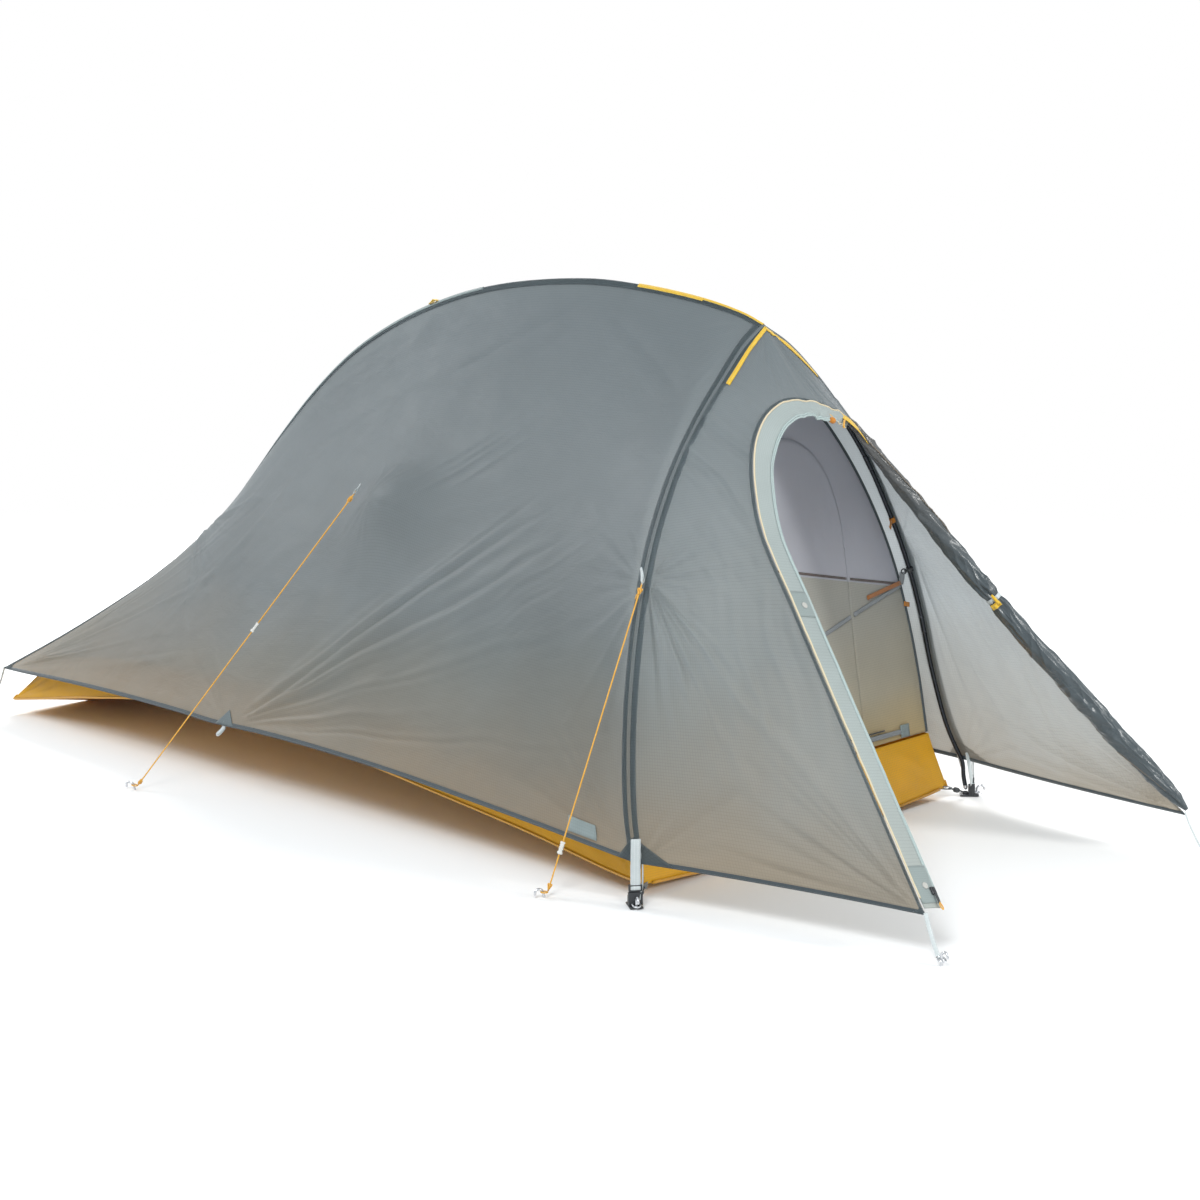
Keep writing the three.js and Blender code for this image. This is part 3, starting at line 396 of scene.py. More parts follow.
# ---------------------------------------------------------------- material builder
class Shader:
    """A small writer of node materials. Colours are linear."""

    def __init__(self, name):
        self.material = bpy.data.materials.new(name)
        self.material.use_nodes = True
        self.tree = self.material.node_tree
        self.tree.nodes.clear()
        self.sources = {}

    def connect(self, socket, value):
        if isinstance(value, bpy.types.NodeSocket):
            self.tree.links.new(value, socket)
        else:
            socket.default_value = value

    def node(self, kind, props=None, **inputs):
        """Inputs go by name, or by number as i0, i1 and so on."""
        node = self.tree.nodes.new("ShaderNode" + kind)
        for key, value in (props or {}).items():
            setattr(node, key, value)
        for key, value in inputs.items():
            numbered = key[0] == "i" and key[1:].isdigit()
            socket = node.inputs[int(key[1:]) if numbered else key.replace("_", " ")]
            self.connect(socket, value)
        return node

    def source(self, kind, props=None):
        if kind not in self.sources:
            self.sources[kind] = self.node(kind, props)
        return self.sources[kind].outputs

    def place(self):
        return self.source("TexCoord")["Object"]

    def uv(self):
        return self.source("UVMap", {"uv_map": "weave"})["UV"]

    def math(self, op, a, b=0.0, c=0.0, clamp=False):
        props = {"operation": op, "use_clamp": clamp}
        return self.node("Math", props, i0=a, i1=b, i2=c).outputs[0]

    def times(self, a, b):
        return self.math("MULTIPLY", a, b)

    def xyz(self, vector):
        return self.node("SeparateXYZ", Vector=vector).outputs

    def mapped(self, vector, scale, location=(0, 0, 0)):
        return self.node("Mapping", Vector=vector, Scale=scale, Location=location).outputs[0]

    def noise(self, vector, scale, detail=3.0, rough=0.55, distortion=0.0):
        return self.node("TexNoise", Vector=vector, Scale=scale, Detail=detail, Roughness=rough,
                         Distortion=distortion).outputs["Fac"]

    def ramp(self, fac, stops, interpolation="LINEAR"):
        """Stops are (position, grey or colour)."""
        node = self.node("ValToRGB", Fac=fac)
        node.color_ramp.interpolation = interpolation
        elements = node.color_ramp.elements
        while len(elements) < len(stops):
            elements.new(0.5)
        for element, (position, c) in zip(elements, stops):
            element.position = position
            element.color = (c, c, c, 1) if isinstance(c, (int, float)) else (*c, 1)
        return node.outputs["Color"]

    def mix(self, fac, a, b, blend="MIX"):
        node = self.node("Mix", {"data_type": "RGBA", "blend_type": blend}, i0=fac)
        for i, value in ((6, a), (7, b)):
            self.connect(node.inputs[i], (*value, 1) if isinstance(value, tuple) else value)
        return node.outputs[2]

    def tint(self, a, b):
        return self.mix(1.0, a, b, "MULTIPLY")

    def bump(self, height, strength, distance, normal=None):
        below = {} if normal is None else {"Normal": normal}
        return self.node("Bump", Height=height, Strength=strength, Distance=distance,
                         **below).outputs["Normal"]

    def principled(self, **inputs):
        return self.node("BsdfPrincipled", **inputs).outputs[0]

    def translucent(self, **inputs):
        return self.node("BsdfTranslucent", **inputs).outputs[0]

    def clear(self):
        return self.node("BsdfTransparent").outputs[0]

    def blend(self, fac, a, b):
        return self.node("MixShader", i0=fac, i1=a, i2=b).outputs[0]

    def finish(self, surface):
        self.node("OutputMaterial", Surface=surface)
        return self.material

    def lines(self, coord, period, width):
        """1 on thin lines that repeat every period (metres) along one coordinate."""
        f = self.math("FRACT", self.math("DIVIDE", coord, period))
        d = self.math("ABSOLUTE", self.math("SUBTRACT", f, 0.5))
        return self.math("GREATER_THAN", d, 0.5 - 0.5 * width / period)

    def weave(self, pitch):
        """Height of a plain weave."""
        s = self.xyz(self.uv())
        k = TURN / pitch
        a, b = (self.math("SINE", self.times(s[q], k)) for q in (0, 1))
        return self.math("MULTIPLY_ADD", self.times(a, b), 0.5, 0.5)

    def ripstop(self, cell, line=0.0006):
        """Square net of thicker threads."""
        s = self.xyz(self.uv())
        return self.math("MAXIMUM", self.lines(s[0], cell, line), self.lines(s[1], cell, line))


# ---------------------------------------------------------------- kinds of material
def thin_cloth(name, front, through, factor, rough, sheen, crinkle,
               painted_floor_light=None, top_tint=None, cell=0.0055, coat=0.0, spec=0.35):
    """Coated ripstop that lets light through. A painted glow of light from the orange floor warms
    its foot; a tint colours its top.
    """
    mat = Shader(name)
    big = mat.noise(mat.place(), scale=2.3, detail=3, rough=0.5)
    mid = mat.noise(mat.mapped(mat.place(), (1, 1, 1.6)), scale=14, detail=4, rough=0.6)
    tone = mat.ramp(big, [(0.3, 0.90), (0.7, 1.09)])
    fine_tone = mat.ramp(mid, [(0.3, 0.965), (0.7, 1.035)])
    col = mat.tint(mat.tint(front, tone), fine_tone)
    thr = mat.tint(through, tone)
    if painted_floor_light or top_tint:
        z = mat.xyz(mat.place())[2]
    # Painted light: the glow of the orange floor on the cloth's foot, fading upwards along a wavy
    # edge.
    if painted_floor_light:
        lowered = mat.math("SUBTRACT", z, 0.125)
        spread = mat.noise(mat.place(), scale=3.1, detail=2)
        wavy = mat.math("MULTIPLY_ADD", spread, 0.25, lowered)
        f = mat.ramp(wavy, [(0.06, 0.95), (0.22, 0.42), (0.42, 0.0)])
        col = mat.mix(f, col, painted_floor_light)
        thr = mat.mix(f, thr, painted_floor_light)
    # Tint of the top: on the fly it is painted sky light, on the rolled door a browner top.
    if top_tint:
        f = mat.ramp(z, [(0.55, 0.0), (0.98, 0.85)])
        col = mat.mix(f, col, top_tint)
        thr = mat.mix(f, thr, top_tint)
    rip = mat.ripstop(cell)
    thread = (0.05, 0.06, 0.065)
    col = mat.mix(mat.times(rip, 0.16), col, thread)
    thr = mat.mix(mat.times(rip, 0.22), thr, thread)
    fine = mat.noise(mat.mapped(mat.uv(), (1, 1, 1)), scale=95, detail=5, rough=0.62,
                     distortion=0.3)
    soft = mat.noise(mat.mapped(mat.place(), (1.0, 0.45, 1.0)), scale=22, detail=4, rough=0.6,
                     distortion=0.4)
    soft_bump = mat.bump(soft, strength=crinkle, distance=0.004)
    fine_bump = mat.bump(fine, strength=crinkle * 0.6, distance=0.0009, normal=soft_bump)
    threads = mat.math("ADD", mat.times(mat.weave(pitch=0.0009), 0.3), rip)
    face = mat.principled(
        Base_Color=col, Roughness=mat.ramp(mid, [(0.25, rough - 0.07), (0.75, rough + 0.08)]),
        Normal=mat.bump(threads, strength=0.25, distance=0.0003, normal=fine_bump),
        Sheen_Weight=sheen, Sheen_Roughness=0.4, Coat_Weight=coat, Coat_Roughness=0.35,
        Specular_IOR_Level=spec)
    back = mat.translucent(Color=thr, Normal=soft_bump)
    return mat.finish(mat.blend(factor, face, back))


def webbing(name, colour, edge, stitch=None, light=0.12):
    """Woven tape with chevron ribs; stitch colours rows of stitches, light is what passes."""
    mat = Shader(name)
    s = mat.xyz(mat.uv())
    k = TURN / 0.0016  # one rib every 1.6 mm
    bend = mat.times(mat.math("SINE", mat.times(s[1], k * 0.6)), 1.2)
    rib = mat.math("SINE", mat.math("ADD", mat.times(s[0], k), bend))
    cross = mat.math("SINE", mat.times(s[1], k * 0.8))
    height = mat.math("MULTIPLY_ADD", mat.math("ADD", rib, mat.times(cross, 0.5)), 0.33, 0.5)
    dirt = mat.noise(mat.place(), scale=60, detail=4, rough=0.6)
    col = mat.mix(mat.ramp(dirt, [(0.35, 0.0), (0.75, 0.35)]), colour, edge)
    # The ribs' low parts are darkened towards the edge colour as painted shade; the mottle above is
    # dirt.
    col = mat.mix(mat.times(mat.math("SUBTRACT", 1.0, height), 0.35), col, edge)
    normal = mat.bump(height, strength=0.5, distance=0.0004)
    if stitch:
        run = mat.lines(s[0], period=0.0034, width=0.0022)
        row = mat.lines(s[1], period=0.0065, width=0.0009)
        stitches = mat.times(run, row)
        col = mat.mix(mat.times(stitches, 0.8), col, stitch)
        normal = mat.bump(stitches, strength=0.4, distance=0.0005, normal=normal)
    face = mat.principled(Base_Color=col, Roughness=0.75, Normal=normal, Sheen_Weight=0.3,
                          Specular_IOR_Level=0.3)
    if not light:
        return mat.finish(face)
    return mat.finish(mat.blend(light, face, mat.translucent(Color=col)))


def braid(name, light, dark, turns=420, ratio=2.0):
    """Braided cord: two crossing spirals, with turns per metre round the cord."""
    mat = Shader(name)
    s = mat.xyz(mat.uv())
    u = mat.times(s[1], turns * 2 * math.pi)
    v = mat.times(s[0], turns * ratio * 2 * math.pi)
    one, other = (mat.math("SINE", mat.math(op, u, v)) for op in ("ADD", "SUBTRACT"))
    height = mat.math("MULTIPLY_ADD", mat.math("MAXIMUM", one, other), 0.5, 0.5)
    # The grooves between the strands take the dark colour as painted shade; the dirt below also
    # uses it.
    col = mat.mix(mat.math("SUBTRACT", 1.0, height), light, dark)
    dirt = mat.ramp(mat.noise(mat.place(), scale=90, detail=3), [(0.4, 0.0), (0.8, 0.25)])
    return mat.finish(mat.principled(
        Base_Color=mat.mix(dirt, col, dark), Roughness=0.7,
        Normal=mat.bump(height, strength=0.6, distance=0.0003),
        Sheen_Weight=0.25, Specular_IOR_Level=0.3))


def worn_colour(mat, scuffs, worn_stops, colour, edge):
    """Colour that wears to the edge colour on scuffs and on sharp edges."""
    worn = mat.ramp(mat.node("NewGeometry").outputs["Pointiness"], worn_stops)
    return mat.mix(mat.math("MAXIMUM", scuffs, worn, clamp=True), colour, edge)


def metal(name, colour, rough, wear, edge):
    mat = Shader(name)
    streak = mat.noise(mat.mapped(mat.place(), (1, 1, 1)), scale=160, detail=3, rough=0.6)
    scuff = mat.noise(mat.place(), scale=24, detail=5, rough=0.65)
    col = worn_colour(mat, mat.ramp(scuff, [(0.62, 0.0), (0.8, wear)]),
                      [(0.52, 0.0), (0.62, wear * 1.6)], colour, edge)
    return mat.finish(mat.principled(
        Base_Color=col, Metallic=1.0,
        Roughness=mat.ramp(streak, [(0.3, rough - 0.06), (0.7, rough + 0.1)]),
        Normal=mat.bump(streak, strength=0.12, distance=0.0004)))


def plastic(name, colour, edge, rough=0.42):
    mat = Shader(name)
    grain = mat.noise(mat.place(), scale=900, detail=2, rough=0.5)
    scuff = mat.noise(mat.place(), scale=70, detail=5, rough=0.65)
    col = worn_colour(mat, mat.ramp(scuff, [(0.6, 0.0), (0.85, 0.35)]),
                      [(0.53, 0.0), (0.64, 0.5)], colour, edge)
    return mat.finish(mat.principled(
        Base_Color=col, Roughness=mat.ramp(scuff, [(0.3, rough - 0.05), (0.75, rough + 0.14)]),
        Normal=mat.bump(grain, strength=0.2, distance=0.0002), Specular_IOR_Level=0.45))


def inner_wall(name):
    """Netting above, thin cloth below; the change follows the wall's cross seam."""
    mat = Shader(name)
    at = mat.xyz(mat.place())
    tone = mat.ramp(mat.noise(mat.place(), scale=2.6, detail=3), [(0.3, 0.9), (0.7, 1.1)])
    soft = mat.noise(mat.mapped(mat.place(), (1, 1, 0.4)), scale=16, detail=4, rough=0.6)
    soft_bump = mat.bump(soft, strength=0.35, distance=0.004)
    holes = mat.bump(mat.weave(pitch=0.0016), strength=0.4, distance=0.0003, normal=soft_bump)
    face = mat.principled(Base_Color=mat.tint((0.55, 0.56, 0.60), tone), Roughness=0.8,
                          Normal=holes, Sheen_Weight=0.25, Specular_IOR_Level=0.2)
    glow = mat.translucent(Color=(0.93, 0.93, 0.98, 1), Normal=soft_bump)
    net = mat.blend(0.10, mat.blend(0.5, face, glow), mat.clear())

    # Cloth, yellower near the floor
    spread = mat.noise(mat.place(), scale=3.2, detail=2)
    low = mat.ramp(mat.math("MULTIPLY_ADD", spread, 0.12, at[2]),
                   [(0.16, (0.76, 0.58, 0.24)), (0.30, (0.66, 0.61, 0.48)),
                    (0.50, (0.56, 0.55, 0.50))])
    rip = mat.ripstop(cell=0.0048)
    col = mat.mix(mat.times(rip, 0.2), mat.tint(low, tone), (0.10, 0.095, 0.085))
    face = mat.principled(
        Base_Color=col, Roughness=0.6,
        Normal=mat.bump(rip, strength=0.25, distance=0.0003, normal=soft_bump),
        Sheen_Weight=0.25, Specular_IOR_Level=0.3)
    cloth = mat.blend(0.5, face, mat.translucent(Color=col, Normal=soft_bump))

    # Height of the change in metres: it rises towards the middle and falls towards the rear
    inside = mat.math("SUBTRACT", 0.401, mat.math("ABSOLUTE", at[0]))
    tilt = mat.times(mat.math("MAXIMUM", inside, 0.0), 0.188)
    fall = mat.times(mat.math("MAXIMUM", mat.math("ADD", at[1], 0.02), 0.0), 0.17)
    line = mat.math("SUBTRACT", mat.math("ADD", 0.455, tilt), fall)
    return mat.finish(mat.blend(mat.math("GREATER_THAN", at[2], line), cloth, net))


# ---------------------------------------------------------------- materials
# Fly: its warm foot is painted light from the orange floor, its blue top painted sky light.
FLY = thin_cloth("fly_ripstop", (0.215, 0.240, 0.240), (0.58, 0.62, 0.64), factor=0.46,
                 rough=0.50, sheen=0.25, crinkle=0.55, spec=0.32,
                 painted_floor_light=(0.345, 0.295, 0.225), top_tint=(0.235, 0.270, 0.285))
ROLL = thin_cloth("rolled_door_cloth", (0.056, 0.072, 0.080), (0.07, 0.085, 0.09), factor=0.10,
                  rough=0.26, sheen=0.1, coat=0.55, crinkle=0.7, top_tint=(0.115, 0.095, 0.080))
BAND = thin_cloth("seam_cloth", (0.072, 0.095, 0.104), (0.86, 0.89, 0.91), factor=0.55,
                  rough=0.55, sheen=0.2, crinkle=0.15)
PATCH = thin_cloth("patch_cloth", (0.36, 0.43, 0.43), (0.42, 0.48, 0.48), factor=0.40,
                   rough=0.5, sheen=0.2, crinkle=0.15)
TUB_CLOTH = thin_cloth("floor_cloth", (0.86, 0.47, 0.016), (0.92, 0.50, 0.03), factor=0.30,
                       rough=0.45, sheen=0.15, cell=0.0042, coat=0.12, crinkle=0.45)
# The flap's warm foot is painted light from the orange floor.
ZIP = thin_cloth("zip_flap_cloth", (0.41, 0.465, 0.455), (0.40, 0.45, 0.42), factor=0.28,
                 rough=0.55, sheen=0.3, crinkle=0.4, cell=0.004, painted_floor_light=(0.43, 0.46, 0.43))
ZIP_PATCH = thin_cloth("zip_flap_patch_cloth", (0.335, 0.395, 0.385), (0.34, 0.40, 0.38),
                       factor=0.28, rough=0.5, sheen=0.3, crinkle=0.3, cell=0.004)
HEM_PATCH = thin_cloth("hem_patch_cloth", (0.17, 0.205, 0.215), (0.25, 0.29, 0.30),
                       factor=0.35, rough=0.5, sheen=0.2, crinkle=0.15)
TRIM = webbing("binding_tape", (0.050, 0.066, 0.074), (0.028, 0.036, 0.042),
               stitch=(0.12, 0.14, 0.15), light=0.0)
PALE = webbing("pale_webbing", (0.60, 0.65, 0.65), (0.40, 0.45, 0.46),
               stitch=(0.75, 0.78, 0.78))
GREY = webbing("grey_webbing", (0.27, 0.285, 0.295), (0.16, 0.17, 0.18))
YELLOW = webbing("yellow_webbing", (0.80, 0.52, 0.035), (0.55, 0.31, 0.02),
                 stitch=(0.90, 0.72, 0.25))
ORANGE = webbing("orange_webbing", (0.62, 0.24, 0.03), (0.36, 0.12, 0.02))
TUB_SEAM = webbing("floor_seam_tape", (0.62, 0.31, 0.02), (0.45, 0.21, 0.015), light=0.0)
TAN = webbing("tan_webbing", (0.40, 0.155, 0.045), (0.24, 0.09, 0.03))
BROWN = webbing("brown_binding", (0.095, 0.070, 0.062), (0.06, 0.042, 0.036), light=0.0)
CREAM = braid("cream_piping", (0.60, 0.52, 0.36), (0.60, 0.50, 0.34), turns=260)
COIL = braid("zip_coil", (0.40, 0.475, 0.46), (0.28, 0.37, 0.37), turns=300, ratio=4.0)
CORD = braid("guy_cord", (0.80, 0.43, 0.06), (0.52, 0.24, 0.03))
ELASTIC = braid("elastic_cord", (0.55, 0.53, 0.48), (0.30, 0.29, 0.26))
BLACK_CORD = braid("black_cord", (0.03, 0.032, 0.035), (0.015, 0.016, 0.018))
POLE = metal("anodised_tube", (0.045, 0.048, 0.055), rough=0.30, wear=0.12,
             edge=(0.30, 0.31, 0.33))
ALLOY = metal("bare_alloy", (0.62, 0.63, 0.65), rough=0.28, wear=0.4, edge=(0.85, 0.86, 0.88))
BLACK = plastic("black_moulding", (0.022, 0.024, 0.027), (0.12, 0.125, 0.13))
FLAP_SNAP = plastic("flap_snap", (0.40, 0.40, 0.37), (0.52, 0.53, 0.50), rough=0.4)
ROLL_EDGE = braid("rolled_edge", (0.20, 0.165, 0.125), (0.10, 0.085, 0.07), turns=260)
SNAP = plastic("pale_snap", (0.62, 0.62, 0.58), (0.78, 0.78, 0.75), rough=0.35)
INNER = inner_wall("inner_wall_cloth")


# ---------------------------------------------------------------- objects
def mesh_object(name, verts, faces, uvs, material, replaces=None, body="tent", slot=None):
    """verts in mm, uvs one per face corner."""
    me = bpy.data.meshes.new(name)
    me.from_pydata(((verts + vec(0, REST_Y, 0)) * MM).tolist(), [], faces)
    layer = me.uv_layers.new(name="weave")
    layer.data.foreach_set("uv", np.asarray(uvs, np.float32).ravel())
    me.polygons.foreach_set("use_smooth", [True] * len(me.polygons))
    me.update()
    ob = bpy.data.objects.new(name, me)
    bpy.context.scene.collection.objects.link(ob)
    me.materials.append(material)
    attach(ob, body)
    if replaces:
        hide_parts(replaces)


def put(name, parts, material, replaces=None, **told):
    """One object from several surfaces."""
    verts, faces, uvs = [], [], []
    start = 0
    for points, polygons, *corners in parts:
        faces += [[int(i) + start for i in face] for face in polygons]
        if corners:
            for face_uvs in corners[0]:
                uvs.extend(face_uvs)
        else:
            flat = [((v[0] + v[1]) * MM, v[2] * MM) for v in points]
            uvs.extend(flat[i] for face in polygons for i in face)
        verts.append(points)
        start += len(points)
    mesh_object(name, np.vstack(verts), faces, uvs, material, replaces, **told)


def put_side(side, name, parts, material, replaces=None, body=None, slot=None):
    """A piece made for the left; the right one is its mirror image. Names end in the side."""
    if side == "right":
        parts = [mirror_part(part) for part in parts]
    ending = "_" + side
    put(name + ending, parts, material, replaces and replaces + ending,
        body=body + ending if body else "tent", slot=slot)


# ---------------------------------------------------------------- the design's own curves
# Rows of x, y, z, as in the frame; the leg, hip and hem are those of the left side.
RIDGE = vec(
    (0, -949, 1003), (0, -905, 1021), (0, -820, 1043), (0, -720, 1060), (0, -625, 1071),
    (0, -520, 1078), (0, -371, 1073), (0, -229, 1057), (0, -100, 1029), (0, 54, 977),
    (0, 205, 903), (0, 335, 811), (0, 460, 700), (0, 571, 590), (0, 665, 500), (0, 737, 436))
LEG = vec(
    (0, -949, 1003), (-68, -957, 966), (-139, -965, 910), (-222, -971, 833),
    (-298, -979, 746), (-374, -991, 623), (-424, -1006, 511), (-458, -1019, 400),
    (-484, -1034, 275), (-507, -1058, 160), (-527, -1090, 78))
HIP = vec((0, 737, 436), (-40, 779, 394), (-106, 852, 319), (-178, 930, 249),
          (-248, 1006, 186), (-352, 1098, 110))
HEM = vec(
    (-527, -1090, 78), (-521, -1000, 84), (-509, -840, 95), (-496, -640, 108),
    (-482, -416, 121), (-468, -180, 129), (-455, 24, 130), (-443, 200, 126),
    (-430, 330, 128), (-408, 600, 128), (-388, 827, 123), (-371, 990, 116), (-352, 1098, 110))
DOOR_EDGE = vec(
    (-436, -1648, 76), (-403, -1553, 188), (-369, -1456, 302), (-337, -1364, 411),
    (-302, -1264, 530), (-269, -1168, 645), (-243, -1124, 728), (-220, -1104, 796),
    (-178, -1094, 846), (-115, -1089, 871), (-45, -1089, 868), (20, -1094, 851),
    (72, -1100, 826), (143, -1148, 723), (210, -1218, 604), (271, -1301, 482),
    (328, -1394, 358), (383, -1500, 229), (436, -1648, 76))
# Station of each door edge point on the leg seams: 0 left foot, 1 hub, 2 right foot
FACING = vec(0, 0.1, 0.2, 0.3, 0.4, 0.5, 0.6, 0.7, 0.8, 0.9, 1, 1.12, 1.24, 1.37, 1.5, 1.62,
             1.74, 1.87, 2)
# Floor stations along y: half width and height of its edge, height of its middle, then half
# width and height of the wall's top
FLOOR_Y = [-1070, -960, -760, -480, -180, 130, 440, 720, 950, 1083]
FLOOR_X = [484, 468, 450, 432, 418, 404, 390, 374, 352, 340]
FLOOR_Z = [24, 31, 56, 85, 115, 126, 129, 95, 56, 34]
FLOOR_MID = [0, 0, 22, 51, 82, 94, 98, 65, 22, 0]
WALL_X = [452, 440, 424, 406, 388, 372, 356, 336, 308, 288]
WALL_Z = [140, 150, 168, 190, 200, 203, 200, 180, 138, 116]
SPINE_DROP, LEG_DROP = 17, 12  # pole centre below the seams
POLE_R, ROLL_R, TAPE_W = 4.5, 21, 46
HUB = vec(0, -936, 981)
HUB_SEAM, FOOT_SEAM, REAR_CORNER, STAKED_CORNER = RIDGE[0], LEG[-1], HIP[-1], DOOR_EDGE[0]
GUY_TOPS = {"side": vec(-331, -152, 646), "front": vec(-423, -1014, 566)}
ridge, leg, hip, hem = Curve(RIDGE), Curve(LEG), Curve(HIP), Curve(HEM)


def under_ridge(share, drop):
    s = ridge.length * share
    t = ridge.tangent(s)
    return ridge.at(s) + drop * vec(0, t[2], -t[1])


def spine_path():
    under = [under_ridge(i / 36, SPINE_DROP) for i in range(2, 37)]
    rear = [(0, 826, 331), (0, 925, 231), (0, 1020, 129), (0, 1072, 62), (0, 1104, 13)]
    return Curve([HUB] + under + rear, 24)


def leg_path():
    """Left leg pole, eased back towards its foot."""
    points = [HUB]
    for i in range(3, 31):
        s = leg.length * i / 30
        n = unit(np.cross(leg.tangent(s), REARWARD))
        n = -n if n[0] < 0 else n
        points.append(leg.at(s) + LEG_DROP * n + vec(0, 0.75 * max(0, i - 26), 0))
    return Curve(points + [(-523, -1086, 42), (-530, -1088, 13)], 24)


spine, leg_pole = spine_path(), leg_path()


# ---------------------------------------------------------------- patches between four curves
def coons(top, bottom, start, end, m, n, pins=()):
    """Coarse relaxed patch between four curves; pins are (row, column, point)."""
    u, v = np.linspace(0, 1, m + 1), np.linspace(0, 1, n + 1)
    T, B, S, E = top(u), bottom(u), start(v), end(v)
    U, W = u[:, None, None], v[None, :, None]
    corners = T[0] * (1 - U) * (1 - W) + T[-1] * U * (1 - W) + B[0] * (1 - U) * W + B[-1] * U * W
    G = T[:, None] * (1 - W) + B[:, None] * W + S[None] * (1 - U) + E[None] * U - corners
    held = {(i, j): point for i, j, point in pins}
    for _ in range(160):
        for i in range(1, m):
            for j in range(1, n):
                if (i, j) in held:
                    G[i, j] = held[i, j]
                else:
                    G[i, j] = 0.25 * (G[i - 1, j] + G[i + 1, j] + G[i, j - 1] + G[i, j + 1])
    return G


def upsample(G, m, axis):
    """Catmull-Rom through control rows along one axis."""
    G = np.moveaxis(G, axis, 0)
    k = len(G)
    E = np.concatenate([2 * G[:1] - G[1:2], G, 2 * G[-1:] - G[-2:-1]])
    t = np.linspace(0, k - 1, m + 1)
    i = np.minimum(t.astype(int), k - 2)
    f = (t - i).reshape((-1,) + (1,) * (G.ndim - 1))
    return np.moveaxis(catmull(E[i], E[i + 1], E[i + 2], E[i + 3], f), 0, axis)


def catmull(a, b, c, d, t):
    return 0.5 * (2 * b + (c - a) * t + (2 * a - 5 * b + 4 * c - d) * t ** 2
                  + (3 * b - a - 3 * c + d) * t ** 3)


def fine_patch(G, top, bottom, start, end, m, n):
    """Smooth surface through a coarse patch, its borders moved on to the exact curves."""
    F = upsample(upsample(G, m, 0), n, 1)
    u, v = np.linspace(0, 1, m + 1), np.linspace(0, 1, n + 1)
    U, W = u[:, None, None], v[None, :, None]
    F = F + ((top(u) - F[:, 0])[:, None] * (1 - W) + (bottom(u) - F[:, -1])[:, None] * W)
    return F + (start(v) - F[0])[None] * (1 - U) + (end(v) - F[-1])[None] * U


def border_fade(m, n, top, bottom, start, end):
    """0 at the sewn borders, rising to 1 over the given share of the patch."""
    u, v = np.linspace(0, 1, m + 1)[:, None], np.linspace(0, 1, n + 1)[None]
    return smooth(0, top, v) * smooth(0, bottom, 1 - v) * smooth(0, start, u) \
        * smooth(0, end, 1 - u)


# ---------------------------------------------------------------- folds in taut cloth
def fan(p, apex, e1, e2, a0, a1, count, reach, amp, seed, near, sharp=1.6):
    """Folds that fan out from a pulled corner, between angles a0 and a1 in the e1, e2 plane."""
    d = p - apex
    x, y = d @ unit(e1), d @ unit(e2)
    r = np.hypot(x, y)
    q = (np.degrees(np.arctan2(y, x)) - a0) / (a1 - a0) * count
    q = q + 0.35 * noise1(q * 0.7 + 3.1, seed + 5) + 0.25 * noise1(r / 130.0 + seed, seed + 9)
    k = np.floor(q)
    tall = 0.25 + 0.75 * hashed(k, seed)
    sign = np.where(hashed(k, seed + 1) > 0.42, 1, -0.8)
    length = reach * (0.35 + 0.75 * hashed(k, seed + 2))
    skew = (q - k) ** (0.75 + 0.7 * hashed(k, seed + 3))
    wave = (np.sin(np.pi * skew) ** 2) ** sharp
    inside = smooth(0, 0.8, q) * smooth(count, count - 0.8, q) * ((q > 0) & (q < count))
    w = smooth(0, near, r) * np.exp(-(r / np.maximum(length, 1)) ** 2.2) * inside
    return amp * wave * tall * sign * w


def folds(p, origin, along, side, length, width, pitch, amp, seed, sharp):
    """Bundle of near-parallel folds of the given extent, pitch apart."""
    d = p - origin
    along = unit(along)
    s, t = d @ along, d @ across(vec(*side), along)
    q = t / pitch + 0.4 * noise1(s / (length * 0.35) + seed, seed + 4) \
        + 0.3 * noise1(t / (pitch * 3.0), seed + 6)
    k = np.floor(q)
    centre = (hashed(k, seed) - 0.5) * length * 0.5
    reach = length * (0.3 + 0.4 * hashed(k, seed + 2))
    tall = 0.2 + 0.8 * hashed(k, seed + 3) ** 1.3
    sign = np.where(hashed(k, seed + 1) > 0.4, 1, -0.8)
    wave = (np.sin(np.pi * (q - k)) ** 2) ** sharp * sign
    return amp * wave * tall * np.exp(-((s - centre) / reach) ** 2) \
        * np.exp(-(t / (0.5 * width)) ** 4)


def crease(p, out, a, b, width, amp, seed, wander=0.25, grow=0.25):
    """Pull line from a to b: a sharp valley with softer swells beside it, wandering a little."""
    ab = vec(*b) - a
    length = np.linalg.norm(ab)
    along = ab / length
    d = p - a
    s = (d @ along) / length
    t = d @ unit(np.cross(along, unit(out))) \
        + width * wander * noise1(s * 3.2 + seed, seed + 1) * 2
    w = width * (0.45 + 0.55 * smooth(0, grow, s))
    prof = 0.95 * np.exp(-((t - 0.9 * w) / w) ** 2) - 0.8 * np.exp(-np.abs(t) / (0.42 * w)) \
        + 0.5 * np.exp(-((t + 1.1 * w) / (0.8 * w)) ** 2)
    return amp * prof * smooth(0, grow, s) * smooth(0, 0.35, 1 - s) \
        * (0.75 + 0.25 * noise1(s * 4 + 3, seed + 2))


def relief(p, seed, fans, out, creases, bundles):
    """Height of all folds of a table at the points p; the tables' seeds count from seed."""
    h = np.zeros(p.shape[:-1])
    for *shape, number, near, sharp in fans:
        h += fan(p, *shape, seed + number, near, sharp)
    for a, b, width, amp, number, *form in creases:
        h += crease(p, out, a, b, width, amp, seed + number, *form)
    for *shape, number, sharp in bundles:
        h += folds(p, *shape, seed + number, sharp)
    return h


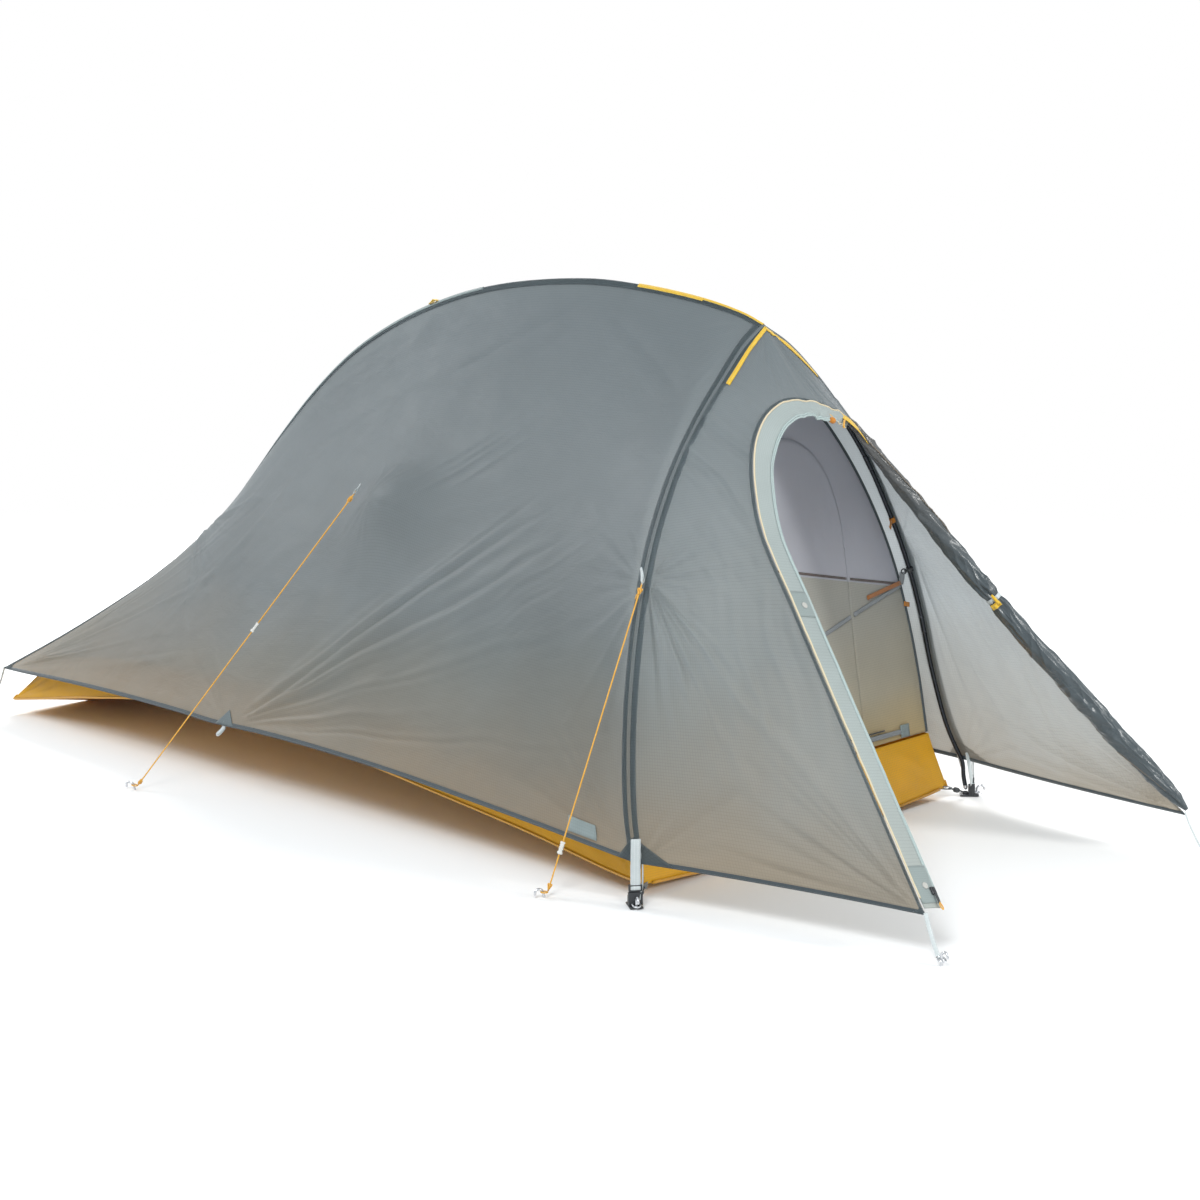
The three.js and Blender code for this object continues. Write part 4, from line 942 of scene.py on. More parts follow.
# Fans: apex, direction of 0 degrees, of 90 degrees, first and last angle, count, reach, height,
# seed, bare distance at the apex, sharpness. In left-hand coordinates.
SIDE_UP, SIDE_OUT = vec(0.42, 0, 0.9), (-0.9, 0, 0.42)
HEM_MID = (-447, 142, 129)
SIDE_FANS = [
    (REAR_CORNER, FORWARD, SIDE_UP, 6, 40, 9, 640, 5.0, 1, 30, 1.1),
    (REAR_CORNER, FORWARD, SIDE_UP, 33, 55, 7, 700, 6.0, 41, 40, 1.1),
    (HEM_MID, FORWARD, SIDE_UP, 3, 30, 9, 900, 4.2, 2, 60, 1.0),
    (HEM_MID, REARWARD, SIDE_UP, 10, 60, 6, 360, 2.0, 3, 30, 1.0),
    (FOOT_SEAM, REARWARD, SIDE_UP, 4, 82, 11, 430, 4.2, 4, 25, 1.0),
    (GUY_TOPS["side"], REARWARD, SIDE_UP, -175, -20, 8, 150, 2.6, 5, 12, 1.0),
    (GUY_TOPS["side"], REARWARD, SIDE_UP, 20, 165, 8, 190, 2.4, 6, 12, 1.0),
    ((-423, -1010, 566), REARWARD, SIDE_UP, -75, 60, 10, 280, 3.0, 7, 18, 1.0),
    (HUB_SEAM, REARWARD, -SIDE_UP, 8, 84, 8, 240, 2.0, 8, 30, 1.0),
    ((-8, 720, 450), FORWARD, (-0.6, 0, -0.8), -10, 60, 10, 380, 5.0, 9, 25, 1.1),
]
# Creases: start, end, width, height, seed, then wander and growth where not the usual ones
SIDE_CREASES = [
    (REAR_CORNER, (-111, 470, 520), 13, 4.0, 51),
    (REAR_CORNER, (-190, 300, 480), 15, 3.2, 52),
    (REAR_CORNER, (-330, 330, 250), 15, 2.6, 53),
    (HEM_MID, (-272, -690, 672), 17, 10.0, 54, 0.15, 0.18),
    ((-437, 60, 175), (-312, -800, 640), 20, 8.0, 55),
    ((-425, 60, 215), (-290, -520, 610), 13, 5.0, 56),
    ((-410, -60, 265), (-262, -640, 700), 11, 4.2, 57),
    ((-28, -540, 1035), (-125, 0, 790), 26, 2.6, 58),
    ((-28, -560, 1035), (-196, -930, 850), 26, 2.6, 59),
]
# Bundles: centre, direction along, direction across, length, width, pitch, height, seed,
# sharpness
SIDE_BUNDLES = [
    ((-225, -365, 720), (72, -154, 106), (0, 0.6, 0.8), 230, 110, 17, 2.6, 10, 1.1),
    ((-352, -640, 520), (0.16, -0.83, 0.53), (0, 0.6, 0.8), 230, 230, 17, 1.9, 11, 1.1),
    ((-400, -420, 400), (0.13, -0.88, 0.42), (0, 0.5, 0.86), 520, 260, 38, 2.6, 15, 1.0),
    ((-62, 80, 868), (51, -234, 154), (-0.5, 0.5, 0.7), 300, 130, 19, 2.6, 12, 1.1),
    ((-140, 560, 450), (0.1, -0.75, 0.66), (-0.5, 0.5, 0.7), 480, 190, 22, 3.4, 13, 1.1),
    ((-250, 120, 560), (0.2, -0.7, 0.66), (-0.5, 0.5, 0.7), 320, 200, 26, 1.4, 14, 1.1),
]
VEST_OUT = (-0.8, -0.35, 0.3)
GUY_FRONT, GUY_DOWN, GUY_AHEAD = GUY_TOPS["front"], -UP, (0.35, -0.94, 0)
VEST_FANS = [
    (GUY_FRONT, GUY_DOWN, GUY_AHEAD, 3, 56, 8, 560, 7.0, 1, 14, 1.0),
    (GUY_FRONT, GUY_DOWN, GUY_AHEAD, 50, 150, 9, 240, 3.4, 2, 14, 1.0),
    (STAKED_CORNER, REARWARD, UP, 1, 42, 9, 470, 8.5, 3, 25, 1.0),
    (FOOT_SEAM, FORWARD, UP, 4, 80, 8, 280, 3.0, 4, 20, 1.0),
    (HUB_SEAM, (0, -0.3, -1), -RIGHT, -8, 64, 12, 250, 5.0, 5, 22, 1.1),
]
VEST_CREASES = [
    (GUY_FRONT, (-440, -1240, 250), 14, 5.0, 21, 0.2, 0.1),
    (GUY_FRONT, (-476, -1140, 215), 12, 4.5, 22, 0.2, 0.1),
    (STAKED_CORNER, (-487, -1180, 135), 12, 7.5, 23),
    (STAKED_CORNER, (-452, -1300, 200), 12, 6.5, 24),
]
VEST_BUNDLES = [
    ((-345, -1240, 480), (-0.2, -0.5, -0.84), (0.3, -0.8, 0.45), 360, 290, 30, 4.6, 6, 1.1),
    ((-235, -1020, 800), (0.2, -0.35, -0.9), (0.9, -0.2, 0.3), 190, 230, 21, 5.2, 7, 1.1),
    ((-330, -1050, 640), (0.15, -0.35, -0.9), (0.9, -0.2, 0.3), 260, 200, 24, 2.6, 12, 1.1),
    ((-420, -1380, 300), (0.1, -0.30, -0.94), (0, -1, 0.25), 420, 420, 40, 2.6, 8, 1.0),
]


def relief_side(p, seed):
    """Height of the folds on a long side panel (left-hand coordinates)."""
    h = relief(p, seed, SIDE_FANS, SIDE_OUT, SIDE_CREASES, SIDE_BUNDLES)
    y, z = p[..., 1], p[..., 2]
    # puckers at the hem
    above = z - np.interp(y, HEM[:, 1], HEM[:, 2])
    h += 2.6 * (np.abs(noise1(y / 30.0, seed + 20)) ** 0.9) * np.exp(-(above / 60.0) ** 2) \
        * (0.5 + 0.5 * noise1(y / 210, seed + 21))
    # soft unevenness, from large to small
    h += 3.4 * noise2(y / 320, z / 260, seed + 30) + 1.5 * noise2(y / 120 + 9, z / 100, seed + 31)
    h += 0.55 * noise2(y / 42 + z / 60, z / 30, seed + 32)
    # no hollows low down near the rear
    keep = np.exp(-((y - 800) / 230) ** 2 - ((z - 160) / 80) ** 2)
    return np.where(h < 0, h * (1 - keep), h)


# ---------------------------------------------------------------- fly panels
SIDE_BORDERS = (ridge.share, hem.share, leg.share, hip.share)
SIDE_COARSE = coons(*SIDE_BORDERS, 12, 8, [(5, 4, vec(-300, -190, 640))])


def side_grid(m, n, seed):
    """Left long panel: rows from the leg to the hip, columns from the ridge to the hem."""
    G = fine_patch(SIDE_COARSE, *SIDE_BORDERS, m, n)
    N = normals_of(G)
    if N[m // 2, n // 2, 0] > 0:
        N = -N
    fade = border_fade(m, n, top=0.05, bottom=0.045, start=0.03, end=0.05)
    return G + N * (relief_side(G, seed) * fade)[..., None]


def rear_grid(m, n):
    """Rear panel between the hips, rows from the peak to the hem."""
    v, u = np.linspace(0, 1, m + 1), np.linspace(-1, 1, n + 1)
    a = hip.share(v)
    bulge = 1 - u[None] ** 2
    G = np.zeros((m + 1, n + 1, 3))
    G[..., 0] = a[:, None, 0] * -u[None]
    G[..., 1] = a[:, None, 1] + (8 * v[:, None]) * bulge
    G[..., 2] = a[:, None, 2] + 26 * (v[:, None] ** 2) * bulge
    N = normals_of(G)
    N[0] = N[1]
    if N[m // 2, n // 2, 1] < 0:
        N = -N
    fade = smooth(0, 0.12, 1 - np.abs(u))[None] * smooth(0, 0.1, 1 - v)[:, None] \
        * smooth(0, 0.15, v)[:, None]
    for sx, seed in ((-1, 300), (1, 330)):
        h = fan(G, (sx * 352, 1098, 110), (-sx, 0, 0), (0, -0.6, 0.8), a0=5, a1=80, count=9,
                reach=330, amp=2.6, seed=seed, near=25)
        G = G + N * (h * fade)[..., None]
    return G


def edge_curve(k):
    """Edge round the door at the stations k of FACING."""
    k = np.asarray(k, float)
    i = np.clip(np.searchsorted(FACING, k, side="left") - 1, 0, len(FACING) - 2)
    t = ((k - FACING[i]) / (FACING[i + 1] - FACING[i]))[..., None]
    last = len(DOOR_EDGE) - 1
    return catmull(*[DOOR_EDGE[np.clip(i + q, 0, last)] for q in (-1, 0, 1, 2)], t)


def seam_front(k):
    """Leg seams at the same stations."""
    p = leg.share(np.where(k <= 1, 1 - k, k - 1))
    p[..., 0] *= np.where(k <= 1, 1, -1)
    return p


def vestibule_grid(sx, m, n, seed):
    """Vestibule panel: columns from the leg seam to the edge round the door. sx -1 is left."""
    start = 0 if sx < 0 else 1
    k, v = np.linspace(start, start + 1, m + 1), np.linspace(0, 1, n + 1)
    w = v[None, :, None]
    G = seam_front(k)[:, None] * (1 - w) + edge_curve(k)[:, None] * w
    sign, far = np.where(k < 1, 1, -1), np.where(k < 1, 1 - k, k - 1)
    G[..., 0] += sign[:, None] * 40 * (v * (1 - v))[None] * far[:, None]
    N = normals_of(G)
    if N[m // 3 if sx < 0 else 2 * m // 3, n // 2, 1] > 0:
        N = -N
    q = G * vec(-sx, 1, 1)
    y, z = q[..., 1], q[..., 2]
    h = relief(q, seed, VEST_FANS, VEST_OUT, VEST_CREASES, VEST_BUNDLES)
    h += 2.0 * noise2(y / 200, z / 260, seed + 9) + 0.5 * noise2(y / 45, z / 80, seed + 10)
    fade = smooth(0, 0.09, v)[None] * smooth(0, 0.07, 1 - v)[None] \
        * smooth(0, 0.035, far)[:, None] * smooth(0, 0.03, 1 - far)[:, None]
    return G + N * (h * fade)[..., None]


def weld(verts, faces, tol):
    """Merges points closer than tol and renumbers the faces."""
    key = np.round(verts / tol).astype(np.int64)
    _, first, inv = np.unique(key, axis=0, return_index=True, return_inverse=True)
    inv = inv.reshape(-1)
    return verts[first], [[int(inv[i]) for i in f] for f in faces]


def panel(name, G, replaced, su, sv):
    """One sewn panel of the fly, as a single sheet facing outwards."""
    m, n = G.shape[:2]
    outward = G[m // 2, n // 2] - vec(0, -300, 300)
    flip = np.dot(normals_of(G)[m // 2, n // 2], outward) < 0
    faces, corners = grid_faces(m, n), grid_uv(m, n, su, sv)
    if flip:
        faces, corners = faces[:, ::-1], corners[:, ::-1]
    verts, faces = weld(G.reshape(-1, 3), faces, tol=0.2)
    kept, uvs = [], []
    for face, face_uvs in zip(faces, corners.tolist()):
        own, own_uvs = [], []
        for i, uv in zip(face, face_uvs):
            if i not in own:
                own.append(i)
                own_uvs.append(uv)
        if len(own) >= 3:
            kept.append(own)
            uvs.extend(own_uvs)
    mesh_object(name, verts, kept, uvs, FLY, replaced)


# Coarser grids that trims are laid on; the sheets themselves are finer
ROWS, COLS = 250, 150
BODY_L, BODY_R = side_grid(ROWS, COLS, 100), mirror(side_grid(ROWS, COLS, 200))
REAR = rear_grid(COLS, 90)
VEST_L, VEST_R = vestibule_grid(-1, 200, 44, 400), vestibule_grid(1, 200, 44, 500)

panel("fly_sheet_left", side_grid(380, 220, 100), "fly_side_left", 2.3, 1.15)
panel("fly_sheet_right", mirror(side_grid(380, 220, 200)), "fly_side_right", 2.3, 1.15)
panel("fly_sheet_rear", REAR, "fly_rear_panel", 0.6, 0.7)
panel("vestibule_sheet_left", vestibule_grid(-1, 300, 124, 400), "vestibule_left", 1.1, 0.5)
panel("vestibule_sheet_right", vestibule_grid(1, 300, 124, 500), "vestibule_right", 1.1, 0.5)

# ---------------------------------------------------------------- lines laid on the cloth
# Long panel, vestibule panel with rows from the hub to the foot, sign of x
SIDES = {"left": (BODY_L, VEST_L[::-1], -1), "right": (BODY_R, VEST_R, 1)}


def seam_line(side, d, n=170):
    """Beside a leg seam from the hub down: d > 0 on the long side, d < 0 on the vestibule."""
    body, vest, _ = SIDES[side]
    return pick(walk(body.transpose(1, 0, 2), d) if d >= 0 else walk(vest, -d), n)


def ridge_line(side, d, n, a, b):
    return pick(walk(SIDES[side][0], d), n, a, b)


def hem_line(side, d, n=260, a=0.0, b=1.0):
    """d above the long hem, from the leg to the rear corner."""
    return pick(walk(SIDES[side][0][:, ::-1], d), n, a, b)


def front_hem_grid(side):
    """Lower rows of the vestibule, turned to run up from its lower edge."""
    return SIDES[side][1][::-1][:80].transpose(1, 0, 2)


def front_hem_line(side, d):
    """d above the vestibule's lower edge, from the leg to the staked corner."""
    return pick(walk(front_hem_grid(side), d), 80)


def edge_line(side, d):
    """d behind the edge round the door, from just above the staked corner."""
    return pick(walk(SIDES[side][1][::-1][:, ::-1], d), 230, 0.012, 1.0)


def lay(line, side, distances, **span):
    return columns(*[line(side, d, **span) for d in distances])


def ridge_strip(distances, rise, n, a, b):
    """Strip over the ridge between shares a and b, its middle raised."""
    left = [ridge_line("left", d, n, a, b) for d in distances]
    right = [ridge_line("right", d, n, a, b) for d in distances[::-1]]
    return columns(*left, ridge_line("left", 0, n, a, b) + vec(0, 0, rise), *right)


# ---------------------------------------------------------------- seams and bindings
def leg_seams():
    """Two dark bands over each leg with a paler strip between them."""
    bands, strips = [], []
    for side, (_, _, sx) in SIDES.items():
        bands.append(slab(lay(seam_line, side, (4, 8, 12, 16)), 0.9, 0.9, (sx, -0.6, 0.5)))
        bands.append(slab(lay(seam_line, side, (-4, -7.5, -11, -14.5)), 0.9, 0.9,
                          (sx * 0.2, -1, 0.3)))
        strip = lay(seam_line, side, (4.4, 2, 0, -2, -4.4))
        strip[:, 2] += vec(sx * 0.8, -0.8, 0.3)
        strips.append(slab(strip, 0.8, 0.7, (sx * 0.7, -0.7, 0.3)))
    put("leg_seam_bands", bands, BAND)
    put("leg_seam_strips", strips, FLY)


def hip_seams():
    parts = []
    for side, (body, _, sx) in SIDES.items():
        rear = REAR if side == "left" else REAR[:, ::-1]
        flank = body[::-1].transpose(1, 0, 2)
        middle = rear[:, 0] + vec(sx * 0.6, 0.6, 0.4)
        lines = columns(walk(flank, 9), walk(flank, 4), middle, walk(rear, 4), walk(rear, 9))
        parts.append(slab(lines[2:], 0.9, 0.9, (sx * 0.5, 0.5, 0.7)))
    put("hip_seam_bands", parts, BAND)


def hem_binding():
    """Tape along the lower edge of every panel."""
    parts = []
    for side, (_, _, sx) in SIDES.items():
        parts.append(slab(lay(hem_line, side, (8.5, 4.5, -0.6)), 2.4, 0.0, (sx, 0, 0.3)))
        parts.append(slab(lay(front_hem_line, side, (8.0, 4.2, -0.6)), 2.4, 0.0,
                          (sx, -0.5, 0.3)))
    rear = REAR[::-1].transpose(1, 0, 2)
    parts.append(slab(columns(*[walk(rear, d) for d in (8.5, 4.5, -0.6)]), 2.4, 0.0,
                      (0, 1, 0.3)))
    put("hem_binding", parts, TRIM)


leg_seams()
put("ridge_band", [slab(ridge_strip((13, 8, 3.5), 0.6, 220, 0.0, 1.0), 0.9, 0.9, UP)], BAND)
put("ridge_tape", [slab(ridge_strip((4.5,), 0.8, 120, 0.40, 0.99), 0.7, 1.9, UP)], PATCH)
hip_seams()
hem_binding()


# ---------------------------------------------------------------- patches, loops, webbing
def tri_patch(p0, p1, p2, out):
    """Flat triangular patch, as a grid that narrows to p0."""
    u = np.linspace(0, 1, 9)[:, None, None]
    G = lerp(lerp(p0, p1, u), lerp(p0, p2, u), np.linspace(0, 1, 9)[None, :, None])
    G[0] += (G[1] - G[0]) * 0.02
    return slab(G, 0.8, 1.3, out)


def patches():
    corners, middles = [], []
    for side, (body, vest, sx) in SIDES.items():
        low, up = front_hem_grid(side), body[:, ::-1]
        # foot on the vestibule and on the long side, staked corner, rear corner
        corners += [
            tri_patch(vest[-1, 0], walk(low, 48)[0], walk(low, 1)[6], (sx * 0.3, -1, 0.2)),
            tri_patch(body[0, -1], walk(up, 46)[0], walk(up, 1)[5], (sx, 0, 0.2)),
            tri_patch(vest[-1, -1], vest[-4, -1], vest[-1, -3], (sx * 0.6, -0.6, 0.2)),
            tri_patch(body[-1, -1], walk(up, 30)[-1], body[-5, -1], (sx, 0, 0.3)),
        ]
        base = hem_line(side, 1, 3, 0.548, 0.586)
        a, b = base[0], base[-1]
        top = hem_line(side, 36, 3, 0.567, 0.568)[0]
        middles.append(tri_patch(top, lerp(a, b, 0.1), lerp(a, b, 0.86), (sx, 0, 0.3)))
    put("corner_patches", corners, BAND)
    put("hem_loop_patches", middles, HEM_PATCH)


# Loop under the middle of the hem: outwards, y, z from its root
HEM_LOOP = vec((-1.5, 0, 4), (1, 1, -6), (9, 6, -17), (13, 8, -21), (12, 8, -23), (6, 5, -18),
               (-1, 1, -8))


def hem_details():
    for side, (_, _, sx) in SIDES.items():
        root = hem_line(side, 4, 3, 0.567, 0.568)[0]
        path = Curve(root + HEM_LOOP * vec(sx, 1, 1), 8).points
        put("hem_stake_loop_" + side, [strap(path, (sx, -0.2, 0.7), 8, 1.3)], PALE)
    rows = (13, 20, 28, 36, 42)
    put("hem_label_patches",
        [slab(lay(hem_line, side, rows, n=9, a=0.045, b=0.08), 0.8, 1.4, (sx, 0, 0.3))
         for side, (_, _, sx) in SIDES.items()], PATCH)


def hub_webbing():
    """Yellow webbing along the ridge over the hub, then down beside both leg seams."""
    parts = [slab(ridge_strip((6, 3), 0.5, 90, 0.081, 0.17), 1.5, 2.4, UP),
             slab(ridge_strip((2.4,), 0.6, 90, 0.0, 0.083), 1.4, 2.3, UP)]
    for _, vest, sx in SIDES.values():
        away = 9 * (smooth(-0.06, 0.12, np.linspace(0, 1, len(vest))) * 1.15 - 0.25)
        lines = [pick(walk(vest, away + d), 80, 0.0, 0.158) for d in (5, 7.5, 10, 12.5, 15)]
        parts.append(slab(columns(*lines), 1.5, 1.9, (sx * 0.2, -1, 0.3)))
    put("hub_webbing", parts, YELLOW)


def ridge_tab():
    roots = ridge_line("left", 0, 3, 0.478, 0.486)[[0, 0, 1, 1, 1, 2]]
    path = roots + vec((0, 0, 1.5), (0, -2, 6), (0, -4, 9), (0, -1, 10), (0, 3, 6), (0, 5, 1.5))
    put("ridge_tab", [strap(path, (0, 0.3, 1), 12, 1.4)], YELLOW)


patches()
hem_details()
hub_webbing()
ridge_tab()


# ---------------------------------------------------------------- flap over the door zip
def tape_in(k):
    """Direction from the edge round the door into the opening."""
    k = np.asarray(k)
    t = unit(edge_curve(np.minimum(k + 0.01, 2)) - edge_curve(np.maximum(k - 0.01, 0)))
    d = unit(np.cross(vec(0, -0.77, 0.64), t))
    d = np.where(((k < 0.9) & (d[..., 0] < 0))[..., None], -d, d)
    return np.where(((k >= 0.9) & (d[..., 2] > 0))[..., None], -d, d)


FLAP_START, FLAP_END, FLAP_ROWS, FLAP_COLS = 0.012, 1.235, 330, 15
FLAP_K = np.linspace(FLAP_START, FLAP_END, FLAP_ROWS)


def flap_grid():
    """Flap, columns from the cloth's edge inwards, and its normals along the edge."""
    width = TAPE_W * lerp(1, 0.62, np.clip((FLAP_K - 0.72) / 0.5, 0, 1))
    edge, inward = edge_curve(FLAP_K), tape_in(FLAP_K)
    mean = np.ones(13) / 13
    inward = unit(np.stack([np.convolve(np.pad(inward[:, c], 6, mode="edge"), mean, "valid")
                            for c in range(3)], -1))
    N = unit(np.cross(inward, unit(np.gradient(edge, axis=0))))
    N = np.where((N[:, 1] > 0)[:, None], -N, N)
    s = arc_lengths(edge)
    loose = smooth(0.80, 1.06, FLAP_K)
    lines = []
    for v in np.arange(FLAP_COLS) / (FLAP_COLS - 1):
        bow = 2.6 * math.sin(math.pi * v) * (0.4 + 0.6 * noise1(s / 260, 61)) \
            + 0.5 * noise2(s / 24, v * 3.2, 62)
        crumple = loose * (5.0 * noise2(s / 26, v * 2.4, 63) + 2.6 * noise2(s / 11, v * 4.0, 64))
        inset = 1.2 + (width - 1.2) * v + loose * 2.5 * noise1(s / 17 + v * 2, 65)
        rise = 2.0 + bow + crumple * (0.35 + 0.65 * v)
        lines.append(edge + inward * inset[:, None] + N * rise[:, None])
    return columns(*lines), inward, N


FLAP, FLAP_IN, FLAP_N = flap_grid()
put("door_zip_flap", [slab(FLAP, 1.2, 0, FORWARD)], ZIP, "door_zip_tape")
put("door_edge_piping", [tube(FLAP[4:, 0] + FLAP_N[4:] * 0.8, 1.7, 10),
                         tube(FLAP[250:, -1] + FLAP_N[250:] * 0.6, 1.2, 8)], CREAM)


def zip_coil():
    inward, N = FLAP_IN[3:300], FLAP_N[3:300]
    coil = FLAP[3:300, -1] + N * 0.4
    tape = columns(coil - inward * 5.5 + N * 1.2, coil - inward * 2 + N * 1.2)
    put("door_zip_coil", [tube(coil, 2.1, 10), slab(tape, 1.0, 0, FORWARD)], COIL)


def edge_bands():
    """Dark tape on the panels outside the flap."""
    put("door_edge_band",
        [slab(lay(edge_line, "left", (1.2, 3.0, 4.8, 6.8)), 0.9, 0.9, (-0.6, -1, 0.3)),
         slab(lay(edge_line, "right", (1.0, 2.8, 4.6, 6.4)), 0.9, 0.9, (0.6, -1, 0.3))], BAND)


# Distance above the flap, radius
FLAP_SNAP_PROFILE = [(1.4, 0), (1.4, 5.6), (2.6, 6.4), (3.6, 5.8), (4.0, 4.6), (3.7, 3.4),
                     (3.4, 2.4), (4.3, 1.4), (4.5, 0)]


def flap_snaps():
    """Two patches across the flap, each with a round snap."""
    patches_, discs = [], []
    for span in ((0.022, 0.066), (0.388, 0.424)):
        i0, i1 = (int((k - FLAP_START) / (FLAP_END - FLAP_START) * (FLAP_ROWS - 1))
                  for k in span)
        patches_.append(slab(FLAP[i0:i1 + 1, ::2], 1.2, 1.3, FORWARD))
        mid = (i0 + i1) // 2
        discs.append(lathe(FLAP_SNAP_PROFILE, FLAP[mid, FLAP_COLS // 2], FLAP_N[mid], 24))
    put("flap_snap_patches", patches_, ZIP_PATCH)
    put("flap_snaps", discs, FLAP_SNAP)


def door_slider():
    """Slider near the staked corner, with a cord pull."""
    start = edge_curve(0.035)
    along = unit(edge_curve(0.5) - start)
    inward = across(tape_in(0.3), along)
    n = unit(np.cross(inward, along))
    n = -n if n[1] > 0 else n
    axes = (start + inward * (TAPE_W - 9) + n * 6.5, inward, along, n)
    body = boxes(axes, [((11, 14, 3.5), (0, 0, 0), 1.2), ((4.2, 7, 2.4), (0, 1.5, 2.6), 0.9),
                        ((5.4, 21, 1.7), (0, -15, 2.4), 0.8)])
    put("door_zip_slider_body", body, BLACK, "door_zip_slider", body="door_zip")
    pull = local_points(axes, [(0.0, -22.5, 2.4), (2.0, -27, 2.6), (2.6, -33, 3.0),
                               (0.6, -37, 3.2), (-2.0, -34, 3.0), (-2.2, -28, 2.6),
                               (-0.4, -22.8, 2.5)])
    put("door_zip_pull", [tube(Curve(pull, 8).points, 1.1, 8)], CORD, body="door_zip")


zip_coil()
edge_bands()
flap_snaps()
door_slider()

# ---------------------------------------------------------------- floor tub
TUB_ENDS = -1046, 1006  # y of the wall's top at the front and rear
TUB_ACROSS = [-1, -0.985, -0.72, -0.36, 0, 0.36, 0.72, 0.985, 1]  # shares of the half width


def tub_control():
    front, rear = TUB_ENDS
    rows = [[(a * WALL_X[0], front + 3 * abs(a), WALL_Z[0]) for a in TUB_ACROSS]]
    for k, y in enumerate(FLOOR_Y):
        row = []
        for a in TUB_ACROSS:
            sx, ax = np.sign(a), abs(a)
            if ax == 1:
                wall_y = {0: front + 4, 9: rear + 4}.get(k, y)
                row.append((sx * WALL_X[k], wall_y, WALL_Z[k] - (0.5 if k in (0, 9) else 0)))
            elif ax > 0.9:
                row.append((sx * FLOOR_X[k], y, FLOOR_Z[k]))
            else:
                rise = (FLOOR_Z[k] - FLOOR_MID[k]) * max(0, (ax - 0.36) / 0.64)
                shift = {0: 14, 9: -20}.get(k, 0) * (1 - ax)
                row.append((a * FLOOR_X[k] * (0.98 if ax > 0.5 else 1), y + shift,
                            FLOOR_MID[k] + rise))
        rows.append(row)
    rows.append([(a * WALL_X[9], rear + 6 * abs(a), WALL_Z[9]) for a in TUB_ACROSS])
    C = vec(*rows)
    C[..., 2] += 0.6
    return C


def tub_relief(G):
    h = np.zeros(G.shape[:2])
    front = (-FLOOR_X[0], FLOOR_Y[0], FLOOR_Z[0])
    rear = (-FLOOR_X[-1], FLOOR_Y[-1], FLOOR_Z[-1])
    for sx in (-1, 1):
        q = G * vec(-sx, 1, 1)
        front_wall = q[..., 1] < -1040
        side_wall = np.abs(q[..., 0]) > 0.9 * np.interp(q[..., 1], FLOOR_Y, WALL_X)
        # where, then a fan: apex, directions, angles, count, reach, height, seed, near
        for where, *shape, seed, near in (
                (front_wall, front, RIGHT, UP, 2, 78, 9, 330, 3.4, 701, 16),
                (side_wall, front, REARWARD, UP, 3, 70, 8, 380, 3.0, 711, 18),
                (side_wall, rear, FORWARD, UP, 3, 75, 8, 380, 3.0, 721, 18),
                (q[..., 2] < 200, front, RIGHT, REARWARD, 8, 82, 11, 620, 3.0, 731, 30),
                (1, rear, RIGHT, FORWARD, 8, 82, 11, 560, 3.0, 741, 30)):
            h += fan(q, *shape, seed + sx, near) * where
    x, y, z = G[..., 0], G[..., 1], G[..., 2]
    return h + 1.6 * noise2(x / 110, y / 150, 751) + 0.6 * noise2(x / 34 + z / 30, y / 44, 752)


def tub_grid():
    """Rows from the front wall's top over the floor to the rear wall's top."""
    C = tub_control()
    mid = upsample(C[1:-1], 300, 0)
    steps = np.linspace(0, 1, 17)
    f, b = steps[:-1, None, None], steps[1:, None, None]
    G = np.concatenate([C[0][None] * (1 - f) + mid[0][None] * f, mid,
                        mid[-1][None] * (1 - b) + C[-1][None] * b])
    lines = [lerp(G[:, j], G[:, j + 1], q / count)
             for j, count in enumerate([18, 12, 12, 12, 12, 12, 12, 18]) for q in range(count)]
    G = columns(*lines, G[:, -1])
    N = normals_of(G)
    N = np.where(N[..., 2:] < 0, -N, N)
    h = tub_relief(G)
    # flat at the borders and along the lower side seams
    m, n = G.shape[:2]
    u = np.minimum(np.arange(m), np.arange(m)[::-1])[:, None]
    v = np.minimum(np.arange(n), np.arange(n)[::-1])[None]
    fade = smooth(0, 5, u) * smooth(0, 6, v) * (0.15 + 0.85 * smooth(0, 5, np.abs(v - 18)))
    h = np.where(G[..., 2] < 6, np.maximum(h, 0) * 0.5, h)
    return G + N * (h * fade)[..., None]


TUB = tub_grid()
put("floor_tub_sheet", [slab(TUB, 1.2, 0, UP, 2.4, 1.15)], TUB_CLOTH, "floor_tub")
put("floor_tub_seams",
    [strap(TUB[14:-14, j] + vec(sx * 1.1, 0, -0.3), (sx, 0, -0.5), 6, 1.6)
     for j, sx in ((18, -1), (-19, 1))]
    + [strap(TUB[i, 20:-20] + vec(0, sy * 1.1, 0.4), (0, sy, -0.3), 6, 1.6)
       for i, sy in ((16, -1), (-17, 1))], TUB_SEAM)

# ---------------------------------------------------------------- inner tent, front wall
INNER_UP = unit(vec(0, 0.155, 1))
INNER_OUT = unit(np.cross(RIGHT, INNER_UP))


def on_front(x, h, off=0.0):
    """Point on the leaning front plane: x across, h up the slope, off in front of it."""
    x, h, off = (np.asarray(q, float)[..., None] for q in (x, h, off))
    return vec(0, -1040, 144) + x * RIGHT + h * INNER_UP + off * INNER_OUT


def bezier(p0, p1, p2, p3):
    t = np.linspace(0, 1, 24, endpoint=False)[:, None]
    p0, p1, p2, p3 = vec(p0, p1, p2, p3)
    return (1 - t) ** 3 * p0 + 3 * (1 - t) ** 2 * t * p1 + 3 * (1 - t) * t * t * p2 + t ** 3 * p3


def level(x0, x1, h, n):
    return np.column_stack([np.linspace(x0, x1, n, endpoint=False), np.full(n, h)])


